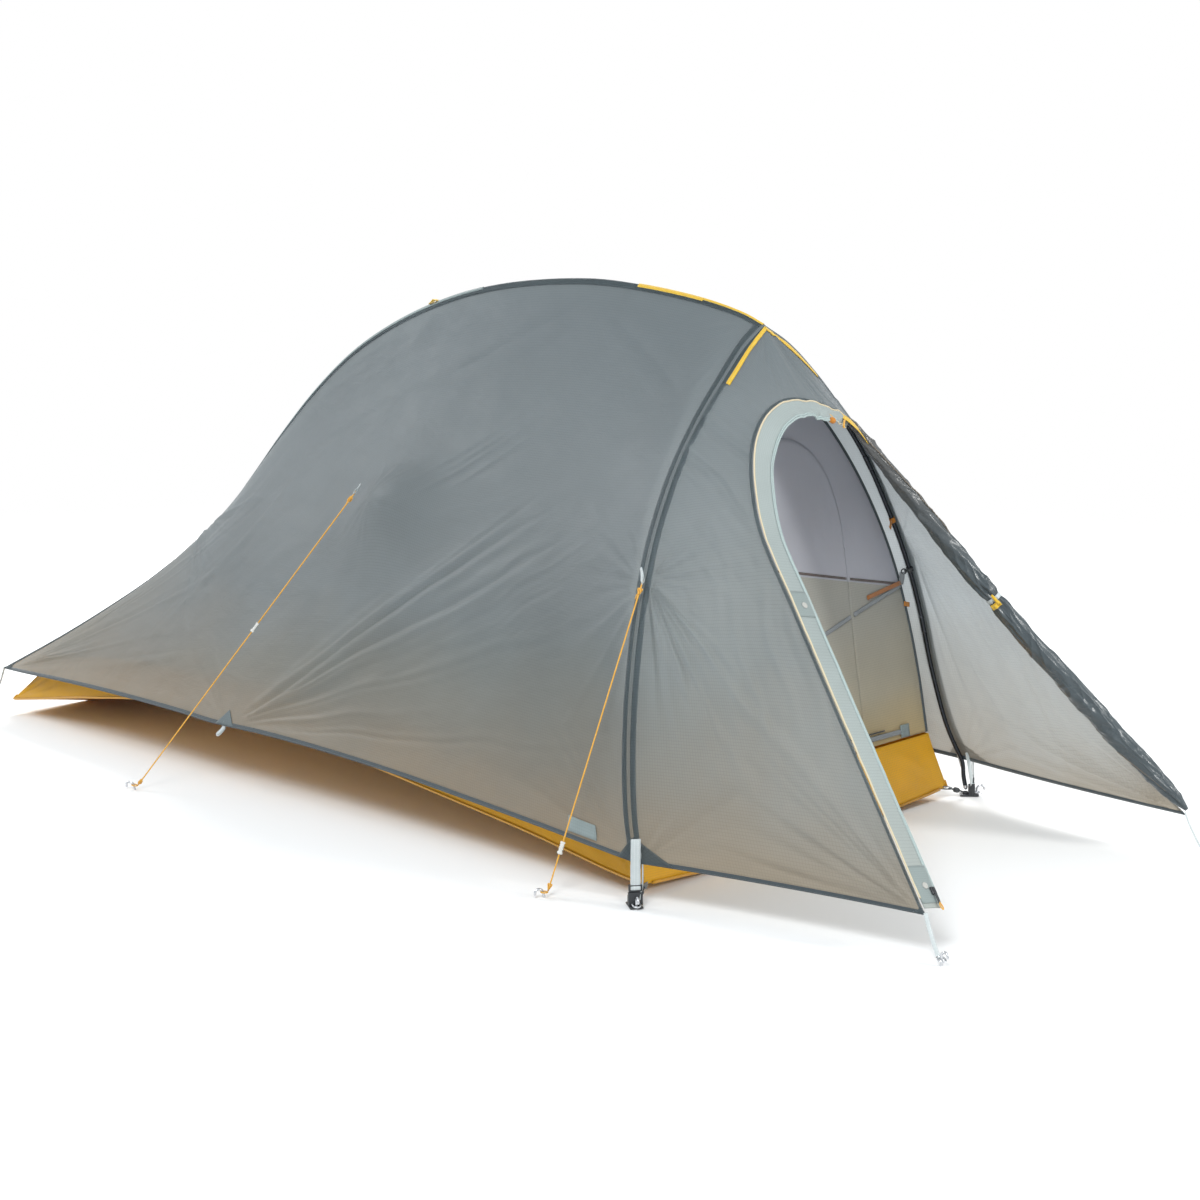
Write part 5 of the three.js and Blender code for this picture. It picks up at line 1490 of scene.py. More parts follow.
# Half outline of the front wall, x and h, from the foot to the peak
ARCH = vec((450, 0), (443, 125), (427, 240), (398, 360), (352, 470), (292, 572), (214, 668),
           (126, 742), (52, 786), (0, 800))
arch = Curve(np.column_stack([ARCH, np.zeros(len(ARCH))]), 12).points[:, :2]
arch_whole = np.vstack([arch, (arch * vec(-1, 1))[::-1][1:]])
wall_outline = np.vstack([arch_whole, np.column_stack([np.linspace(-450, 450, 60)[1:-1],
                                                       np.zeros(58)])])
DOOR_X, DOOR_LOW = 232, 34  # right edge and lower edge of the inner door
door_outline = np.vstack([
    np.column_stack([np.full(20, DOOR_X), DOOR_LOW + np.linspace(0, 386, 20, endpoint=False)]),
    bezier((DOOR_X, 420), (232, 540), (170, 640), (60, 640)),
    bezier((60, 640), (-70, 640), (-190, 560), (-262, 380)),
    bezier((-262, 380), (-300, 270), (-318, 180), (-318, 110)),
    bezier((-318, 110), (-318, 60), (-300, DOOR_LOW), (-250, DOOR_LOW)),
    level(-250, DOOR_X, DOOR_LOW, 24)])
WALL_CENTRE = vec(-30, 300)
ANGLES = np.linspace(-np.pi, np.pi, 361)


def radii(outline):
    """Distances of an outline from the wall's centre at ANGLES."""
    d = outline - WALL_CENTRE
    a = np.arctan2(d[:, 1], d[:, 0])
    order = np.argsort(a)
    a, r = a[order], np.hypot(*d[order].T)
    return np.interp(ANGLES, np.concatenate([a - TURN, a, a + TURN]), np.tile(r, 3))


wall_r, door_r = radii(wall_outline), radii(door_outline)


def front_sheet(r_from, r_to, n, off, waviness, seed):
    """Sheet on the front plane between two outlines given as radii."""
    v = np.linspace(0, 1, n)[None]
    R = r_from[:, None] * (1 - v) + r_to[:, None] * v
    X = WALL_CENTRE[0] + R * np.cos(ANGLES)[:, None]
    H = WALL_CENTRE[1] + R * np.sin(ANGLES)[:, None]
    fade = smooth(0, 40, wall_r[:, None] - R)
    wave = waviness * noise2(X / 150, H / 190, seed) \
        + waviness * 0.35 * noise2(X / 46, H / 90, seed + 1)
    V, F, _ = slab(on_front(X, H, off) + INNER_OUT * (wave * fade)[..., None], 0.7, 0, INNER_OUT)
    flat = np.column_stack([np.tile(X.ravel(), 2), np.tile(H.ravel(), 2)]) * MM
    return V, F, [[tuple(flat[i]) for i in f] for f in F]


put("inner_front_panel", [front_sheet(wall_r, door_r, 26, -0.5, 2.2, 801)], INNER,
    "inner_front_wall")
put("inner_door_panel", [front_sheet(door_r + 2.5, door_r * 0.0008, 44, 1.1, 1.6, 811)], INNER,
    "inner_door", body="inner_door")


def arch_x(h):
    return float(np.interp(h, arch[:, 1], arch[:, 0]))


def cross_h(x):
    """Height of the cross seam between the door's edges."""
    return 315 + 0.19 * (401 - abs(x))


def front_line(a, b, n=60, off=0.0):
    return on_front(np.linspace(a[0], b[0], n), np.linspace(a[1], b[1], n), 2.4 + off)


def tape(path, width, thickness):
    return strap(path, INNER_OUT, width, thickness)


def cross_point(x):
    return x, cross_h(x)


arch_path = on_front(arch_whole[:, 0], arch_whole[:, 1], 0.4)
put("inner_edge_binding", [tape(resample(arch_path, 260), 7, 2.4)], TRIM)
put("inner_cross_seam",
    [tape(front_line((-arch_x(315), 315), cross_point(-266)), 5, 1.3),
     tape(front_line(cross_point(241), (arch_x(315), 315)), 5, 1.3)], BROWN)
put("inner_door_seam",
    [tape(np.vstack([front_line(cross_point(-272), cross_point(-20), 40),
                     front_line(cross_point(20), cross_point(228), 40)]), 5, 1.3)],
    BROWN, body="inner_door")
put("inner_zip_tape",
    [tape(front_line((240, 273), (arch_x(312) - 4, 312), 20, off=0.6), 9, 1.4),
     tape(front_line((-262, 19), (372, 15), 60, off=0.3), 10, 1.4)], GREY)
put("inner_door_tape", [tape(front_line((40, 221), (229, 270), 30, off=0.6), 9, 1.4)], GREY,
    body="inner_door")
put("inner_zip_coil", [tube(front_line((-255, 26.5), (300, 26.5), 60, off=0.9), 1.7, 8)],
    BLACK_CORD)
put("inner_tab_brown",
    [tape(front_line((288, 301), (arch_x(315) - 2, 318), 12, off=2.2), 9, 1.4)], TAN)
SPREAD = np.linspace(0, 1, 5)
put("inner_corner_patches",
    [slab(on_front(sx * (356 + 30 * SPREAD)[:, None], (2 + 26 * SPREAD)[None], 2.6), 1.0, 0.3,
          INNER_OUT) for sx in (-1, 1)], PATCH)
put("inner_zip_slider_body",
    boxes((on_front(DOOR_X - 6, 20, 2.6), RIGHT, INNER_UP, INNER_OUT),
          [((9, 12, 3), (0, 0, 1.0), 1.0), ((3.6, 6, 2.0), (0, 1, 3.0), 0.8),
           ((4.6, 17, 1.5), (0, -11, 3.0), 0.7)]),
    BLACK, "inner_zip_slider", body="inner_zip")


# ---------------------------------------------------------------- inner tent, side walls
def inner_sides():
    beside_middle = vec(-0.95, 0, 0)
    under = [under_ridge(i / 18, SPINE_DROP + 27) for i in range(3, 18)]
    under += [vec(0, 745, 362), vec(0, 850, 256), vec(0, 930, 178), vec(0, 984, 142)]
    top = Curve([on_front(0, 800, -2.2) + vec(-0.95, 0, 1)]
                + [p * vec(0, 1, 1) + beside_middle for p in under], 14)
    edge = Curve([on_front(-x - (0 if x else 0.95), h + (1 if h == 800 else 0), -2.2)
                  for x, h in ARCH[::-1]], 14)
    tub_top = [(-WALL_X[k], FLOOR_Y[k], WALL_Z[k] + 4.5) for k in range(1, 9)]
    rear_foot = (-285, 1009, 122)
    foot = Curve([edge.points[-1]] + tub_top + [rear_foot], 14)
    rear = Curve([(-0.95, 984, 142), (-100, 998, 124), (-200, 1002, 123), rear_foot], 14)
    borders = (top.share, foot.share, edge.share, rear.share)
    G = fine_patch(coons(*borders, 12, 6), *borders, 170, 80)
    N = normals_of(G)
    N = -N if N[80, 40, 0] > 0 else N
    y, z = G[..., 1], G[..., 2]
    h = 4.0 * noise2(y / 240, z / 200, 821) + 1.4 * noise2(y / 60, z / 110, 822)
    for s in CLIP_PLACES:
        h += fan(G, top.at(s + 60.0), REARWARD, (-0.5, 0, -0.9), a0=10, a1=170, count=12,
                 reach=260, amp=3.0, seed=830 + s, near=12)
    fade = border_fade(170, 80, top=0.04, bottom=0.06, start=0.05, end=0.05)
    wall = slab(G + N * ((h - 1.5) * fade)[..., None], 0.7, 0, (-1, 0, 0), 2.5, 1.1)
    put("inner_side_left", [wall], INNER, "inner_wall_left")
    put("inner_side_right", [mirror_part(wall)], INNER, "inner_wall_right")
    low = G[2:-2, -1] + vec(-1.6, 0, 0.5)
    low = low + vec(4.5, 0, -8.0) * smooth(520, 760, low[:, 1])[:, None]
    binding = strap(low, (-1, 0, 0.2), 9, 1.6)
    put("inner_foot_binding", [binding, mirror_part(binding)], TRIM)
    high = G[3:-3, 0] * vec(0, 1, 1) + vec(0, 0, 1.6)
    put("inner_ridge_binding", [strap(high, UP, 8, 1.6)], TRIM)


CLIP_PLACES = (330, 800, 1340)  # mm along the spine
inner_sides()

# ---------------------------------------------------------------- rolled door
ROLL_K = np.concatenate([np.linspace(1.222, 1.30, 40, endpoint=False),
                         np.linspace(1.30, 1.985, 420)])
ROLL_SEG = 120
TIE_K = 1.62
edge_at = edge_curve(ROLL_K)
from_seam = unit(edge_at - seam_front(ROLL_K))
inset = np.interp(ROLL_K, [1.222, 1.30, 1.45, TIE_K, 1.985], [-18.0, -16.0, -12.5, -10.0, -9.5])
roll_path = edge_at + from_seam * (ROLL_R + 5 + inset)[:, None]
roll_s = arc_lengths(roll_path)
ROLL_T = unit(np.gradient(roll_path, axis=0))
ROLL_OUT = unit(from_seam - np.sum(from_seam * ROLL_T, 1, keepdims=True) * ROLL_T)
ROLL_SIDE = np.cross(ROLL_T, ROLL_OUT)
angle = np.linspace(0, TURN, ROLL_SEG, endpoint=False)[None]
S = roll_s[:, None]
from_tie = S - float(np.interp(TIE_K, ROLL_K, roll_s))
pinch = np.exp(-(from_tie / 13.0) ** 2)
twist = S / 190.0 + 0.6 * noise1(S / 240, 901)


def roll_noise(seed, length, rounds, swing):
    """Noise along and round the roll."""
    around = rounds * (1 + np.cos(angle + 0.8 * seed + S / 400)) \
        + 5 * np.sin(angle + seed) * 0.35
    return noise2(S / length + swing * np.sin(angle + twist), around, seed)


def roll_radii():
    base = np.interp(ROLL_K,
                     [1.222, 1.235, 1.26, 1.30, 1.38, 1.46, 1.54, 1.60, 1.635, 1.68, 1.76, 1.86,
                      1.93, 1.965, 1.985],
                     [4.0, 6.5, 8.5, 11.0, 14.5, 17.0, 19.0, 18.0, 18.0, 20.0, 20.5, 20.0,
                      18.0, 12.0, 4.0])[:, None]
    turns = (angle + twist) / TURN
    lap = turns - np.floor(turns)
    ridges = (1 - np.abs(roll_noise(905, 62, 1.7, 0.8))) ** 2 * 2.6 - 1.2
    small_ridges = (1 - np.abs(roll_noise(906, 26, 2.6, 1.4))) ** 3 * 2.0 - 0.7
    long_folds = 1.9 * np.sin(5 * (angle + twist * 1.6) + 1.5 * noise1(S / 120, 907)) \
        * (0.4 + 0.6 * noise1(S / 90, 908) ** 2)
    pleats = 1.5 * np.sin(11 * angle + 2 * noise1(S / 30, 909)) * np.exp(-(from_tie / 42.0) ** 2)
    fade = smooth(0, 30, S) * smooth(0, 40, roll_s[-1] - S)
    return base * (1 - 0.24 * pinch) + 2.6 * (lap - 0.5) * smooth(0, 60, S) \
        + (ridges + small_ridges + long_folds) * fade * (1 - 0.55 * pinch) + pleats


ROLL_RADII = roll_radii()
start_fade = smooth(0, 80, roll_s)
sag = 1.6 * noise1(roll_s / 220, 910) * start_fade * smooth(0, 60, roll_s[-1] - roll_s)
sway = 2.0 * noise1(roll_s / 140, 911) * start_fade
ROLL_C = roll_path + ROLL_OUT * (sag * 0.6)[:, None] + ROLL_SIDE * sway[:, None]


def roll_radius(i, a):
    return np.interp(a % TURN, angle[0], ROLL_RADII[i])


def roll_direction(i, a):
    return np.cos(a)[..., None] * ROLL_OUT[i] + 0.93 * np.sin(a)[..., None] * ROLL_SIDE[i]


rings = ROLL_C[:, None] + ROLL_RADII[..., None] * (
    np.cos(angle)[..., None] * ROLL_OUT[:, None]
    + np.sin(angle)[..., None] * ROLL_SIDE[:, None] * 0.93)
put("door_roll_cloth", [capped_rings(rings, ROLL_C[[0, -1]], roll_s[-1] * MM, 0.13, (0, 0))],
    ROLL, "door_roll")


def roll_edge():
    """The cloth's edge, spiralling along the roll."""
    path = []
    for i in range(20, len(ROLL_K) - 20, 2):
        a = TURN * (1 - (twist[i, 0] / TURN) % 1.0)
        path.append(ROLL_C[i] + (roll_radius(i, a) + 0.4) * roll_direction(i, a))
    put("door_roll_edge", [tube(path, 1.0, 8)], ROLL_EDGE)


roll_edge()

# ---------------------------------------------------------------- tie round the roll
tie_row = int(np.searchsorted(ROLL_K, TIE_K))
tie_c, tie_t = ROLL_C[tie_row], ROLL_T[tie_row]
tie_out, tie_side = ROLL_OUT[tie_row], ROLL_SIDE[tie_row]
to_camera = vec(*CAMERA_PLACE) / MM - vec(0, REST_Y, 0) - tie_c
near_angle = math.atan2(float(to_camera @ tie_side), float(to_camera @ tie_out))


def tie_loop(shift, width, lift, a0, a1):
    """Band round the roll, shift along it from the tie, between two angles."""
    a = np.linspace(a0, a1, 72)
    i = int(np.searchsorted(roll_s, roll_s[tie_row] + shift))
    r = np.convolve(np.pad(roll_radius(i, a), 4, mode="edge"), np.ones(9) / 9, "valid")
    path = ROLL_C[i] + (r + lift)[:, None] * roll_direction(i, a)
    return strap(path, unit(path - ROLL_C[i]), width, 1.5)


put("door_tie_band", [tie_loop(0, 9, 1.6, 0.0, TURN)], PALE, "door_tie")
put("door_tie_tab", [tie_loop(9, 11, 2.6, near_angle - 0.2, near_angle + 1.3)], YELLOW)
toggle_out = math.cos(near_angle) * tie_out + math.sin(near_angle) * tie_side
put("door_tie_toggle",
    [tube([tie_c + (20.5 + q) * toggle_out + tie_t * s
           for q, s in ((2, -11), (3, -6), (3.2, 0), (3, 6), (2, 11))],
          [2.2, 3.0, 3.2, 3.0, 2.2], 12)], YELLOW)


# ---------------------------------------------------------------- top right of the door
def by_edge(k, inward, ahead):
    return edge_curve(k) + tape_in(k) * inward + vec(0, -1, 0.25) * ahead


def edge_path(rows, per):
    """Curve through rows of station, distance inwards, distance ahead."""
    return Curve([by_edge(*row) for row in rows], per).points


put("top_toggle", [lathe([(-6, 0), (-5.6, 3.2), (-3.4, 6.2), (0, 7.2), (3.4, 6.2), (5.6, 3.2),
                          (6, 0)], by_edge(1.10, 33, 4), (0.2, -0.4, 0.9), 20)], ORANGE)
put("top_cords",
    [tube(edge_path([(1.10, 18, 2), (1.105, 25, 5), (1.10, 31, 4)], 10), 1.3, 8),
     tube(edge_path([(1.215, 12, 3), (1.20, 20, 6), (1.17, 30, 5), (1.15, 42, 4)], 10), 2.0, 8)],
    CORD)
put("top_loop",
    [strap(edge_path([(1.19, 9, 3), (1.215, 13, 9), (1.245, 15, 13), (1.27, 13, 13),
                      (1.295, 9, 9), (1.31, 5, 4)], 12), (0, -0.55, 0.83), 15, 1.5)], YELLOW)

# ---------------------------------------------------------------- poles
TIP_LENGTH, HUB_REACH = 10, 12


def pole_section(path, s0, s1, collar):
    """One tube with chamfered lips, and a collar at its upper end."""
    inner = np.linspace(s0, s1, max(int((s1 - s0) / 7), 4))[1:-1]
    s = np.concatenate([[s0, s0 + 0.8], inner, [s1 - 0.8, s1]])
    r = np.full(len(s), POLE_R)
    r[[0, -1]] = POLE_R - 0.5
    parts = [tube(path.at(s), r, 24)]
    if collar:
        r = np.full(9, POLE_R + 0.5)
        r[[0, -1]] = POLE_R + 0.1
        parts.append(tube(path.at(np.linspace(s0 + 1, s0 + 38, 9)), r, 24))
    return parts


def pole_sections(path, count):
    length = (path.length - TIP_LENGTH - HUB_REACH) / count
    return [pole_section(path, HUB_REACH + k * length + (0.4 if k else 0),
                         HUB_REACH + (k + 1) * length, k > 0) for k in range(count)]


def pole_tip(path):
    # distance from the pole's end, radius
    back, r = vec(
        (10.2, 4.0), (10.0, 4.9), (8.6, 4.9), (8.2, 4.2), (7.4, 4.2), (7.0, 4.9),
        (4.4, 4.9), (3.2, 3.6), (2.4, 3.2), (1.4, 3.2), (0.6, 2.6), (0.1, 1.2)).T
    return tube(path.at(path.length - back), r, 24)


for k, section in enumerate(pole_sections(spine, 5), 1):
    put("spine_tube_%d" % k, section, POLE, "spine_section_%d" % k)
for k, section in enumerate(pole_sections(leg_pole, 3), 1):
    put("leg_tube_left_%d" % k, section, POLE, "leg_left_section_%d" % k)
    put("leg_tube_right_%d" % k, [mirror_part(part) for part in section], POLE,
        "leg_right_section_%d" % k)
put("tip_rear", [pole_tip(spine)], ALLOY, "pole_tip_rear")
for side in SIDES:
    put_side(side, "tip", [pole_tip(leg_pole)], ALLOY, "pole_tip")


def paint(name, material):
    """A CAD piece that keeps its shape gets the finished material."""
    ob = bpy.data.objects.get(name) \
        or next((o for o in bpy.data.objects if o.name.split("/")[-1] == name), None)
    if ob is None:
        return
    if not ob.data.materials:
        ob.data.materials.append(material)
    for slot in ob.material_slots:
        slot.material = material


def hub():
    """Three sockets that meet in a rounded, capped body."""
    # distance from the hub, radius
    s, r = vec((1.0, 8.5), (4, 8.6), (8, 8.2), (12, 7.2), (16, 6.7), (24, 6.6), (34, 6.6),
               (42, 6.6), (44, 7.3), (46, 7.3), (47, 6.6)).T
    spine_socket, leg_socket = (tube(path.at(s), r, 24) for path in (spine, leg_pole))
    profile = [(-8.4, 0), (-8.2, 8), (-7.0, 11.5), (-5, 13.0), (5, 13.0), (7.0, 11.5),
               (8.2, 8.4), (7.6, 6.4), (8.0, 4), (8.3, 0)]
    put("hub_moulding", [spine_socket, leg_socket, mirror_part(leg_socket),
                         lathe(profile, HUB, vec(0, 0.295, 0.955), 32)], BLACK, "pole_hub")


hub()
paint("shock_cord", ELASTIC)


# ---------------------------------------------------------------- clips on the poles
def moulded_hook(centre, along, side, out, radius, angles, wires, wire, sheet_at, sheet,
                 block, block_out):
    """Open hook round a pole: two wires, a sheet between them, and a block on the out side."""
    a = angles[:, None]
    rim = radius * (np.sin(a) * side + np.cos(a) * out)
    parts = [tube(centre + along * off + rim, wire, 10) for off in (-wires, wires)]
    parts.append(slab(centre + along * vec(*sheet_at)[None, :, None] + rim[:, None], sheet))
    axes = (centre + out * block_out, along, side, out)
    parts.append(rounded_box(block, (0, 0, 0), 1.2, axes))
    return parts


def spine_hook(k, place):
    c, t = spine.at(place), spine.tangent(place)
    down = unit(vec(0, t[2], -t[1]))
    down = -down if down[2] > 0 else down
    side = np.cross(down, t)
    put("spine_hook_%d" % k,
        moulded_hook(c, t, side, down, radius=6.9, angles=np.linspace(0.5, TURN - 0.9, 26),
                     wires=6.2, wire=1.5, sheet_at=(-6, 0, 6), sheet=1.6,
                     block=(13, 3.4, 5), block_out=10.2),
        BLACK, "spine_clip_%d" % k)
    tail = [c + down * q + side * 0.4 * math.sin(q) for q in np.linspace(9, 26, 10)]
    put("spine_hook_tail_%d" % k, [strap(tail, side, 11, 1.3)], ORANGE)


for k, place in enumerate(CLIP_PLACES, 1):
    spine_hook(k, place)

LEG_CLIP_PLACE, LEG_LOOP_PLACE = 672.0, 556.0  # mm along the leg pole


def leg_clip():
    """Hook with a ring on the leg pole, and the webbing from it to the inner tent."""
    c, t = leg_pole.at(LEG_CLIP_PLACE), leg_pole.tangent(LEG_CLIP_PLACE)
    anchor = on_front(-(arch_x(315) - 2), 314, 3.0)
    out = across(anchor - c, t)
    side = np.cross(t, out)
    hook = moulded_hook(c, t, side, out, radius=6.6, angles=np.linspace(0.55, TURN - 0.85, 28),
                        wires=3.0, wire=1.7, sheet_at=(-3.5, 3.5), sheet=1.8,
                        block=(9, 3.0, 5), block_out=8.8)
    hook.append(torus(c + out * 12.5, side, 5.4, 1.4, 30, 10))
    q = np.linspace(0, 1, 12)[:, None]
    path = lerp(c + out * 16.5, anchor, q) + FORWARD * np.sin(3.1 * q) * 1.5
    return hook, [strap(path, side, 11, 1.5)]


def leg_loop():
    """Webbing round the leg pole with a tail inwards."""
    c, t = leg_pole.at(LEG_LOOP_PLACE), leg_pole.tangent(LEG_LOOP_PLACE)
    inward = across(vec(0.9, -0.25, -0.2), t)
    a = np.linspace(0, TURN, 30)[:, None]
    ring = np.cos(a) * inward + np.sin(a) * np.cross(t, inward)
    q = np.linspace(5.5, 24, 8)[:, None]
    return [strap(c + 5.6 * ring, ring, 11, 1.3),
            strap(c + inward * q + t * (q * 0.35 - 2), np.cross(t, inward), 9, 1.3)]


def leg_attachments():
    hook, hook_webbing = leg_clip()
    loop = leg_loop()
    q = np.linspace(-5, 13, 8)
    tab = tape(on_front(-(arch_x(272) + q), 272 - q * 0.25, 2.2), 10, 1.4)
    for side in SIDES:
        put_side(side, "leg_clip", hook, BLACK, "leg_hook")
        put_side(side, "leg_clip_webbing", hook_webbing, GREY)
        put_side(side, "leg_loop", loop, ORANGE)
        put_side(side, "inner_edge_tab", [tab], ORANGE)


leg_attachments()

# ---------------------------------------------------------------- feet
FOOT, FOOT_SIDE, FOOT_OUT = vec(-530, -1088, 0), vec(0.8, -0.6, 0), vec(-0.6, -0.8, 0)
FOOT_AXES = (FOOT, FOOT_SIDE, FOOT_OUT, UP)
BUCKLE_OUT = 13.5  # buckle and webbing out from the pole's foot
RING_OUT = 23.2


def foot_base():
    """Plate under the pole, and the open buckle that stands on it."""
    parts = boxes(FOOT_AXES, [
        ((25, 40, 3.0), (0, 7, 2.2), 1.45), ((19, 22, 1.4), (0, 5, 4.0), 0.6),
        ((26, 1.9, 24), (0, 10.15, 16.3), 0.9), ((26, 1.9, 24), (0, 16.85, 16.3), 0.9),
        ((2.6, 8.4, 24), (-11.8, BUCKLE_OUT, 16.3), 0.9),
        ((2.6, 8.4, 24), (11.8, BUCKLE_OUT, 16.3), 0.9),
        ((26, 8.6, 5.0), (0, BUCKLE_OUT, 6.8), 1.2),
        ((17, 1.0, 11), (0, 9.1, 17), 0.45), ((17, 1.0, 11), (0, 17.9, 17), 0.45),
        ((3, 4, 20), (-11.5, 7.4, 12), 0.9), ((3, 4, 20), (11.5, 7.4, 12), 0.9)])
    return parts + [torus(FOOT + UP * 6.4, UP, 6.6, 1.7, 36, 12)]


def foot_ring():
    centre = FOOT + FOOT_OUT * RING_OUT + UP * 7.5
    return [torus(centre, UP + FOOT_OUT * 0.25, 9.0, 1.7, 40, 12, 0.78, FOOT_OUT)]


def strap_clip():
    """Male half of the buckle: a tongue, two springs and a frame for the webbing."""
    parts = boxes(FOOT_AXES, [((7, 3.0, 22), (0, BUCKLE_OUT, 22), 0.9)])
    spring = [(6.0, 31), (7.6, 26), (8.6, 20), (8.4, 14), (7.2, 11)]
    for sx in (-1, 1):
        path = local_points(FOOT_AXES, [(sx * q, BUCKLE_OUT, z) for q, z in spring])
        parts.append(tube(path, [1.3, 1.3, 1.5, 1.6, 1.0], 10))
    return parts + boxes(FOOT_AXES, [
        ((25, 6.2, 3.4), (0, BUCKLE_OUT, 31.2), 1.2), ((25, 5.4, 3.0), (0, BUCKLE_OUT, 40.5), 1.2),
        ((3.2, 5.4, 11), (-10.9, BUCKLE_OUT, 36), 1.1),
        ((3.2, 5.4, 11), (10.9, BUCKLE_OUT, 36), 1.1)])


def strap_webbing():
    """Webbing up to the fly, its loop through the buckle and the tail behind it."""

    def rising(heights, offsets):
        sway = 0.8 * np.sin(heights / 17)
        rows = [(0, out, z) for out, z in zip(BUCKLE_OUT + offsets + sway, heights)]
        return local_points(FOOT_AXES, rows)

    z = np.linspace(33, 126, 34)
    a = np.linspace(-0.6, math.pi + 0.6, 14)[:, None]
    loop = FOOT + FOOT_OUT * (BUCKLE_OUT + 3.3 * np.sin(a)) + UP * (36 - 4.2 * np.cos(a))
    tail = rising(np.linspace(38, 78, 16), -1.4)
    return [strap(rising(z, np.where(z > 44, 1.7, 1.0)), FOOT_OUT, 18, 1.5),
            strap(loop, np.sin(a) * FOOT_OUT - np.cos(a) * UP, 17.6, 1.4),
            strap(tail, FOOT_OUT, 17.4, 1.4)]


def foot_side_webbing():
    path = Curve([(-519, -1096, 96), (-521, -1101, 70), (-525, -1104, 42), (-533, -1106, 14)], 14)
    return [strap(path.points, (0.45, -0.9, 0.1), 9, 1.4)]


def floor_corner_loop():
    path = Curve([(-470, -1064, 27), (-480, -1070, 26), (-489, -1074, 23), (-490, -1075, 19.5),
                  (-480, -1070, 20), (-470, -1064, 22)], 10)
    return [strap(path.points, (0.3, 0.1, 1), 10, 1.3)]


corner_cord = Curve([(-487, -1073.5, 21), (-498, -1078, 17), (-511, -1082, 13),
                     (-520, -1085, 9.5)], 14).points


def cord_lock():
    middle = corner_cord[len(corner_cord) // 2] + vec(0.3, -1.3, 0.3)
    profile = [(-7, 0), (-6.6, 4), (-5, 5.4), (3, 5.6), (4, 4.6), (6.5, 4.2), (7.2, 3.0),
               (7.4, 0)]
    return [lathe(profile, middle, corner_cord[-1] - corner_cord[0], 24)]


for side in SIDES:
    put_side(side, "foot_base", foot_base(), BLACK, "foot_buckle")
    put_side(side, "foot_ring", foot_ring(), ALLOY)
    put_side(side, "strap_clip", strap_clip(), BLACK, "fly_strap", body="fly_strap")
    put_side(side, "strap_webbing", strap_webbing(), PALE, body="fly_strap")
    put_side(side, "foot_side_webbing", foot_side_webbing(), PALE)
    put_side(side, "floor_corner_loop", floor_corner_loop(), GREY)
    put_side(side, "floor_corner_cord",
             [tube(corner_cord, 1.4, 10), tube(corner_cord + vec(0.6, -2.6, 0.6), 1.4, 10)],
             BLACK_CORD, slot="elastic_cord")
    put_side(side, "cord_lock", cord_lock(), BLACK)

# ---------------------------------------------------------------- stakes
STAKE_DEPTH, STAKE_R = 125, 2.3
VEST_STAKE, REAR_STAKE = vec(-446, -1688, 0), vec(-372, 1140, 0)
# Lower end, root of the top loop from the top end, tensioner's share of the length
GUYS = {"side": (vec(-606, 246, 10), vec(13, 0, 14), 0.455),
        "front": (vec(-594, -938, 10), vec(6, 10, 22), 0.86)}


def guy_line(name):
    """Ends of a guyline, its direction, its level direction and the foot of its stake."""
    top, low = GUY_TOPS[name], GUYS[name][0]
    along = unit(low - top)
    flat = along * vec(1, 1, 0)
    return top, low, along, flat, low * vec(1, 1, 0) + unit(flat) * 7.5


def stake(foot, lean, hook_dir, top):
    """Wire stake with a hooked head; top is the neck's height above the ground."""
    along = unit(lean)
    tip, neck = foot - along * STAKE_DEPTH, foot + along * top
    side = across(hook_dir, along)
    hook = [neck + along * a + side * b for a, b in (
        (-4, 0), (0, 0), (3.2, 0.6), (6, 2.4), (8.0, 5.4), (8.6, 8.4), (7.8, 11.4), (5.6, 13.8),
        (2.4, 15.2), (-1.0, 15.5))]
    shaft = lerp(tip + along * 20, neck - along * 10, np.linspace(0, 1, 14)[:, None])
    P = np.vstack([[tip, tip + along * 4, tip + along * 12], shaft, Curve(hook, 5).points])
    r = np.full(len(P), STAKE_R)
    r[:2] = 0.5, 1.3
    r[-2:] = 2.1, 1.5
    return tube(P, r, 14)


def stakes():
    rows = {"foot": (FOOT + FOOT_OUT * RING_OUT, UP, FOOT_OUT, 14.0),
            "vestibule": (VEST_STAKE, UP, vec(-0.2, -1, 0), 16.0),
            "rear": (REAR_STAKE, UP, vec(-0.4, 0.9, 0), 16.0)}
    for name in GUYS:
        _, _, _, flat, foot = guy_line(name)
        rows["guy_" + name] = (foot, unit(flat) * 0.28 + UP, flat, 10.0)
    for name, row in rows.items():
        for side in SIDES:
            node = "stake_" + name
            put_side(side, "stake_wire_" + name, [stake(*row)], ALLOY, node, body=node)


stakes()


# ---------------------------------------------------------------- guylines
def knot(axes, length, width, radius):
    q = np.linspace(0, TURN, 60)
    path = np.column_stack([length * np.sin(2 * q), width * np.cos(3 * q), width * np.sin(q)])
    return tube(local_points(axes, path), radius, 10)


